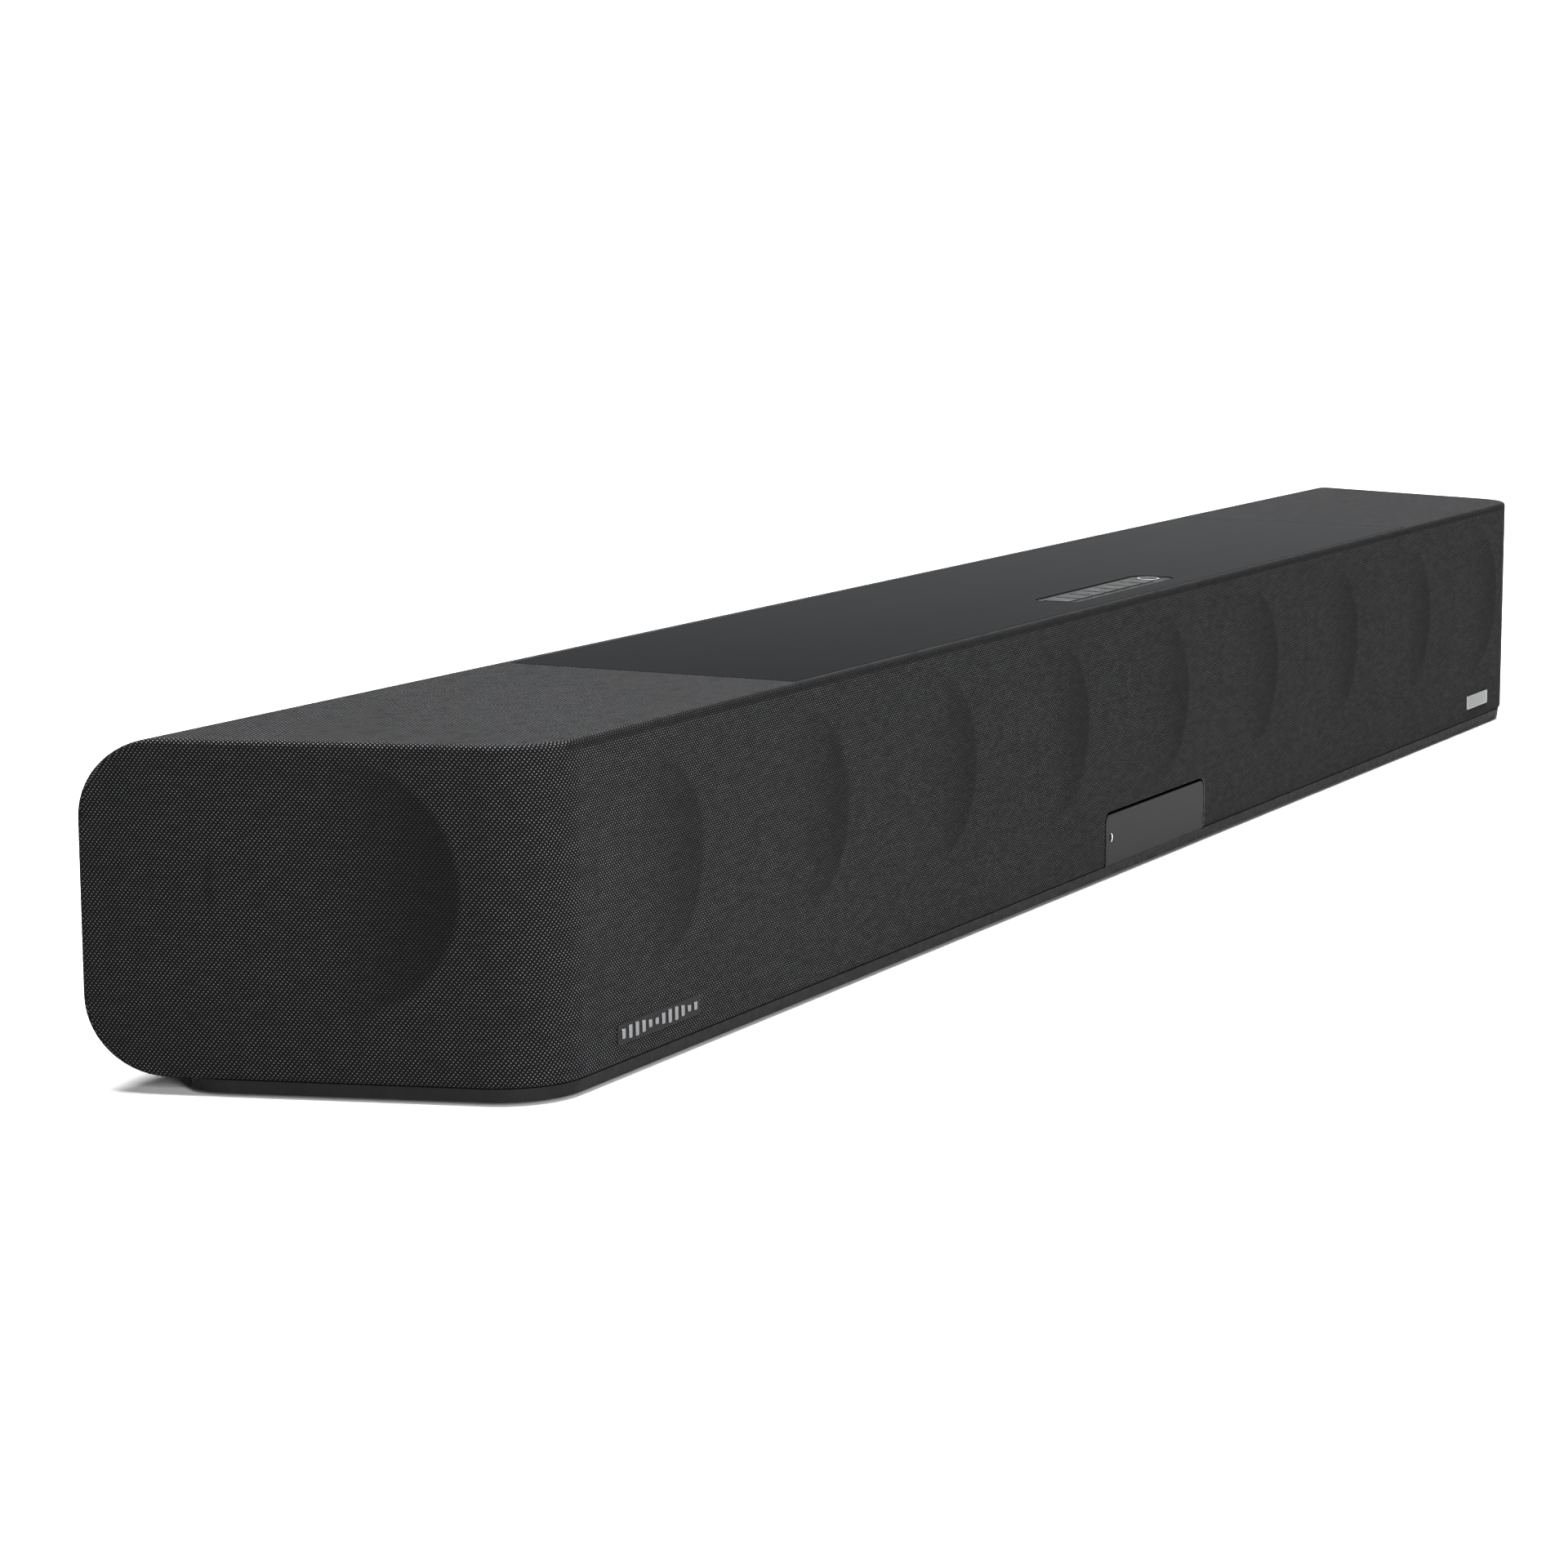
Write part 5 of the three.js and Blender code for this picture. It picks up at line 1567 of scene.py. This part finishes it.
def main_board():
    """The upright board behind the sockets, its parts facing the front."""
    low, high = span("main_board")
    centre_z = (low.z + high.z) / 2
    face = high.y - 0.002
    bm = bmesh.new()
    prism(bm, rounded(low.x, high.x, low.z, high.z, 0.002, 4), face, high.y, facing)

    def lump(x0, x1, z_half, depth, material):
        outline = rounded(x0, x1, centre_z - z_half, centre_z + z_half, 0.0005, 2)
        prism(bm, outline, face - depth, face, facing, material)

    lump(0.01, 0.04, 0.014, 0.0014, 1)
    for i in range(9):
        x = 0.0105 + i * 0.0034
        block(bm, x, x + 0.0012, face - 0.004, face - 0.0014, centre_z - 0.0138, centre_z + 0.0138, 4)
    lump(0.07, 0.088, 0.009, 0.003, 2)
    lump(-0.07, -0.03, 0.006, 0.006, 1)
    for i in range(15):
        x = -0.068 + i * 0.0026
        block(bm, x, x + 0.0005, face - 0.0064, face - 0.006, centre_z - 0.005, centre_z + 0.005, 2)
    for i in range(38):
        for j in range(5):
            x, z = low.x + 0.006 + i * 0.0055, low.z + 0.004 + j * 0.0068
            busy = 0.006 < x < 0.044 or 0.066 < x < 0.092 or -0.074 < x < -0.026
            if busy or (i * 3 + j * 5) % 4 == 0:
                continue
            tall = 0.0005 + 0.0004 * ((i + j) % 3)
            block(bm, x, x + 0.0018, face - tall, face, z, z + 0.0012, 2 if (i + j) % 3 else 1)
    looks = looks_of(*BOARD_LOOKS, "alloy")
    piece("main_electronics", bm, looks, "main_board", bevel=0.00012, segments=1)


def keypad():
    low, high = span("keypad_board")
    bm = bmesh.new()
    prism(bm, rounded(low.x, high.x, low.y, high.y, 0.0015, 3), low.z, high.z)
    for node in [f"key_{name}" for name in KEYS] + ["ring_button"]:
        centre = middle(node)
        rise = 0.9 * (span(node)[0].z - high.z - KEY_PRESS)
        dome = [(0, rise), (0.0018, rise), (0.0026, 0.4 * rise), (0.0026, 0), (0, 0)]
        lathe(bm, dome, Matrix.Translation((centre.x, centre.y, high.z)), 24, 2)
    piece("keypad", bm, looks_of(*BOARD_LOOKS), "keypad_board")


def display_module():
    low, high = span("display_module")
    bm = bmesh.new()
    prism(bm, rounded(low.x, high.x, low.z, high.z, 0.0008, 3), low.y, high.y, facing)
    inset = 0.002
    for i in range(2):
        step = inset + 0.0012 * i
        rim = rounded(low.x + step, high.x - step, low.z + step, high.z - step, 0.0006, 2)
        ribbon(bm, rim + rim[:1], 0.0005, low.y - 0.0001, low.y + 0.0004, way=facing, material=1)
    looks = looks_of("chip", "plated")
    piece("display", bm, looks, "display_module", bevel=0.0003)


# ---- Everything together ------------------------------------------------------------------

MATERIALS = {
    "cloth": knitted_cloth("knit"),
    "top": brushed(
        "brushed_dark", (0.0038, 0.0041, 0.0044), 0.18, streak=0.03, metallic=0.16,
        Specular_IOR_Level=0.0, Specular_Tint=(0.16, 0.166, 0.172, 1)
    ),
    "panel": moulded(
        "panel_satin", (0.018, 0.0183, 0.0188), 0.42, 6000, 0.00001, Specular_IOR_Level=0.12
    ),
    "key": moulded(
        "key_satin", (0.019, 0.0193, 0.0198), 0.42, 6000, 0.00001, Specular_IOR_Level=0.12
    ),
    # painted shade: the ring cap is made much darker than the keys
    "dark_key": moulded(
        "ring_cap_painted_shade", (0.0035, 0.0035, 0.0037), 0.5, 6000, 0.00001, Specular_IOR_Level=0.05
    ),
    "ink": moulded("icon_ink", (0.055, 0.056, 0.057), 0.6, 8000, 0.000005),
    "bright": brushed("bright_satin", (0.15, 0.152, 0.155), 0.36, (40, 40, 3000), 0.08),
    # painted highlight on the ring button's rim, and the small dot in its middle
    "ring": moulded("ring_light_grey", (0.15, 0.152, 0.155), 0.5, 8000, 0.000005),
    # painted shade: the near-black band in the gap round the window
    "gap": moulded("gap_painted_shade", (0.0008, 0.0008, 0.0008), 0.8, Specular_IOR_Level=0.0),
    # the window's plastic carries painted light, lighter towards its upper edge
    "window": satin_glaze(
        "window_satin", (0.0062, 0.006, 0.0065), 0.34, Specular_IOR_Level=0.03
    ),
    # painted highlight: the indicator's white crescent
    "lens": moulded("indicator_painted_highlight", (0.5, 0.5, 0.5), 0.4, 9000, 0.000004),
    "casing": moulded("casing_moulded", (0.0065, 0.0065, 0.007), 0.6, Specular_IOR_Level=0.15),
    # painted shade: the tray is a darker copy of the casing plastic
    "shaded_tray": moulded("tray_painted_shade", (0.0028, 0.0028, 0.003), 0.6, Specular_IOR_Level=0.1),
    "inner": moulded("inner_moulded", (0.006, 0.006, 0.0065), 0.65, 1800),
    "rubber": rubber("foot_rubber", (0.005, 0.005, 0.005)),
    "zinc": plated("zinc_plate", (0.12, 0.12, 0.123)),
    "black_steel": plated("black_oxide", (0.02, 0.02, 0.0205), 0.35),
    "basket": painted_steel("basket_paint", (0.008, 0.008, 0.0085)),
    "paper": coated_paper("cone_paper", (0.007, 0.007, 0.0075)),
    "surround": rubber("surround_rubber", (0.004, 0.004, 0.0042)),
    "magnet": moulded("ferrite", (0.013, 0.0128, 0.0125), 0.75, 1500, 0.00006),
    "spider": coated_paper("spider_cloth", (0.022, 0.013, 0.005)),
    "dust_cap": coated_paper("cap_paper", (0.005, 0.005, 0.0052)),
    "dome": coated_paper("dome_silk", (0.009, 0.009, 0.0095)),
    "copper": plated("copper_wire", (0.2, 0.085, 0.035), 0.35),
    "plated": plated("plated_shell", (0.22, 0.22, 0.225), 0.25),
    "gold": plated("gold_flash", (0.24, 0.16, 0.05), 0.28),
    "chip": moulded("chip_resin", (0.006, 0.006, 0.0062), 0.5, 3500),
    "tape": moulded("winding_tape", (0.09, 0.07, 0.008), 0.4),
    "amber": moulded("amber_lamp", (0.09, 0.045, 0.003), 0.3, 5000, 0.00001),
    "green": moulded("green_lamp", (0.012, 0.07, 0.015), 0.3, 5000, 0.00001),
    "board": circuit_board("solder_mask", (0.006, 0.035, 0.015)),
    "alloy": brushed("heat_sink_alloy", (0.3, 0.305, 0.31), 0.4, (60, 900, 60), 0.1),
}

# what each slot's remaining CAD parts are made of
PLAIN_LOOKS = {
    "casing_plastic": "casing",
    "inner_plastic": "inner",
    "tweeter_plastic": "inner",
    "driver_metal": "basket",
    "paper": "paper",
    "circuit_board": "board",
    "heat_sink": "alloy",
    "socket_metal": "zinc",
}


def plain_parts():
    """Gives a material to the CAD parts that no piece replaces."""
    slots = {part["node"]: part["material_slot"] for part in frame["record"]["subparts"]}
    for node, made in frame["nodes"].items():
        if not made.hide_render:
            made.data.materials.clear()
            made.data.materials.append(MATERIALS[PLAIN_LOOKS.get(slots[node], "inner")])


camera()
stage()
cloth_cover()
top_plate()
control_panel()
for name in KEYS:
    key(name)
ring_button()
display_window()
indicator()
badges()
base()
feet()
screws()
drivers()
rear_cover()
connector_bay()
mains_inlet()
video_sockets()
optical_socket()
ethernet_socket()
amplifier_board()
heat_sink()
power_supply_board()
main_board()
keypad()
display_module()

plain_parts()
bpy.context.view_layer.update()
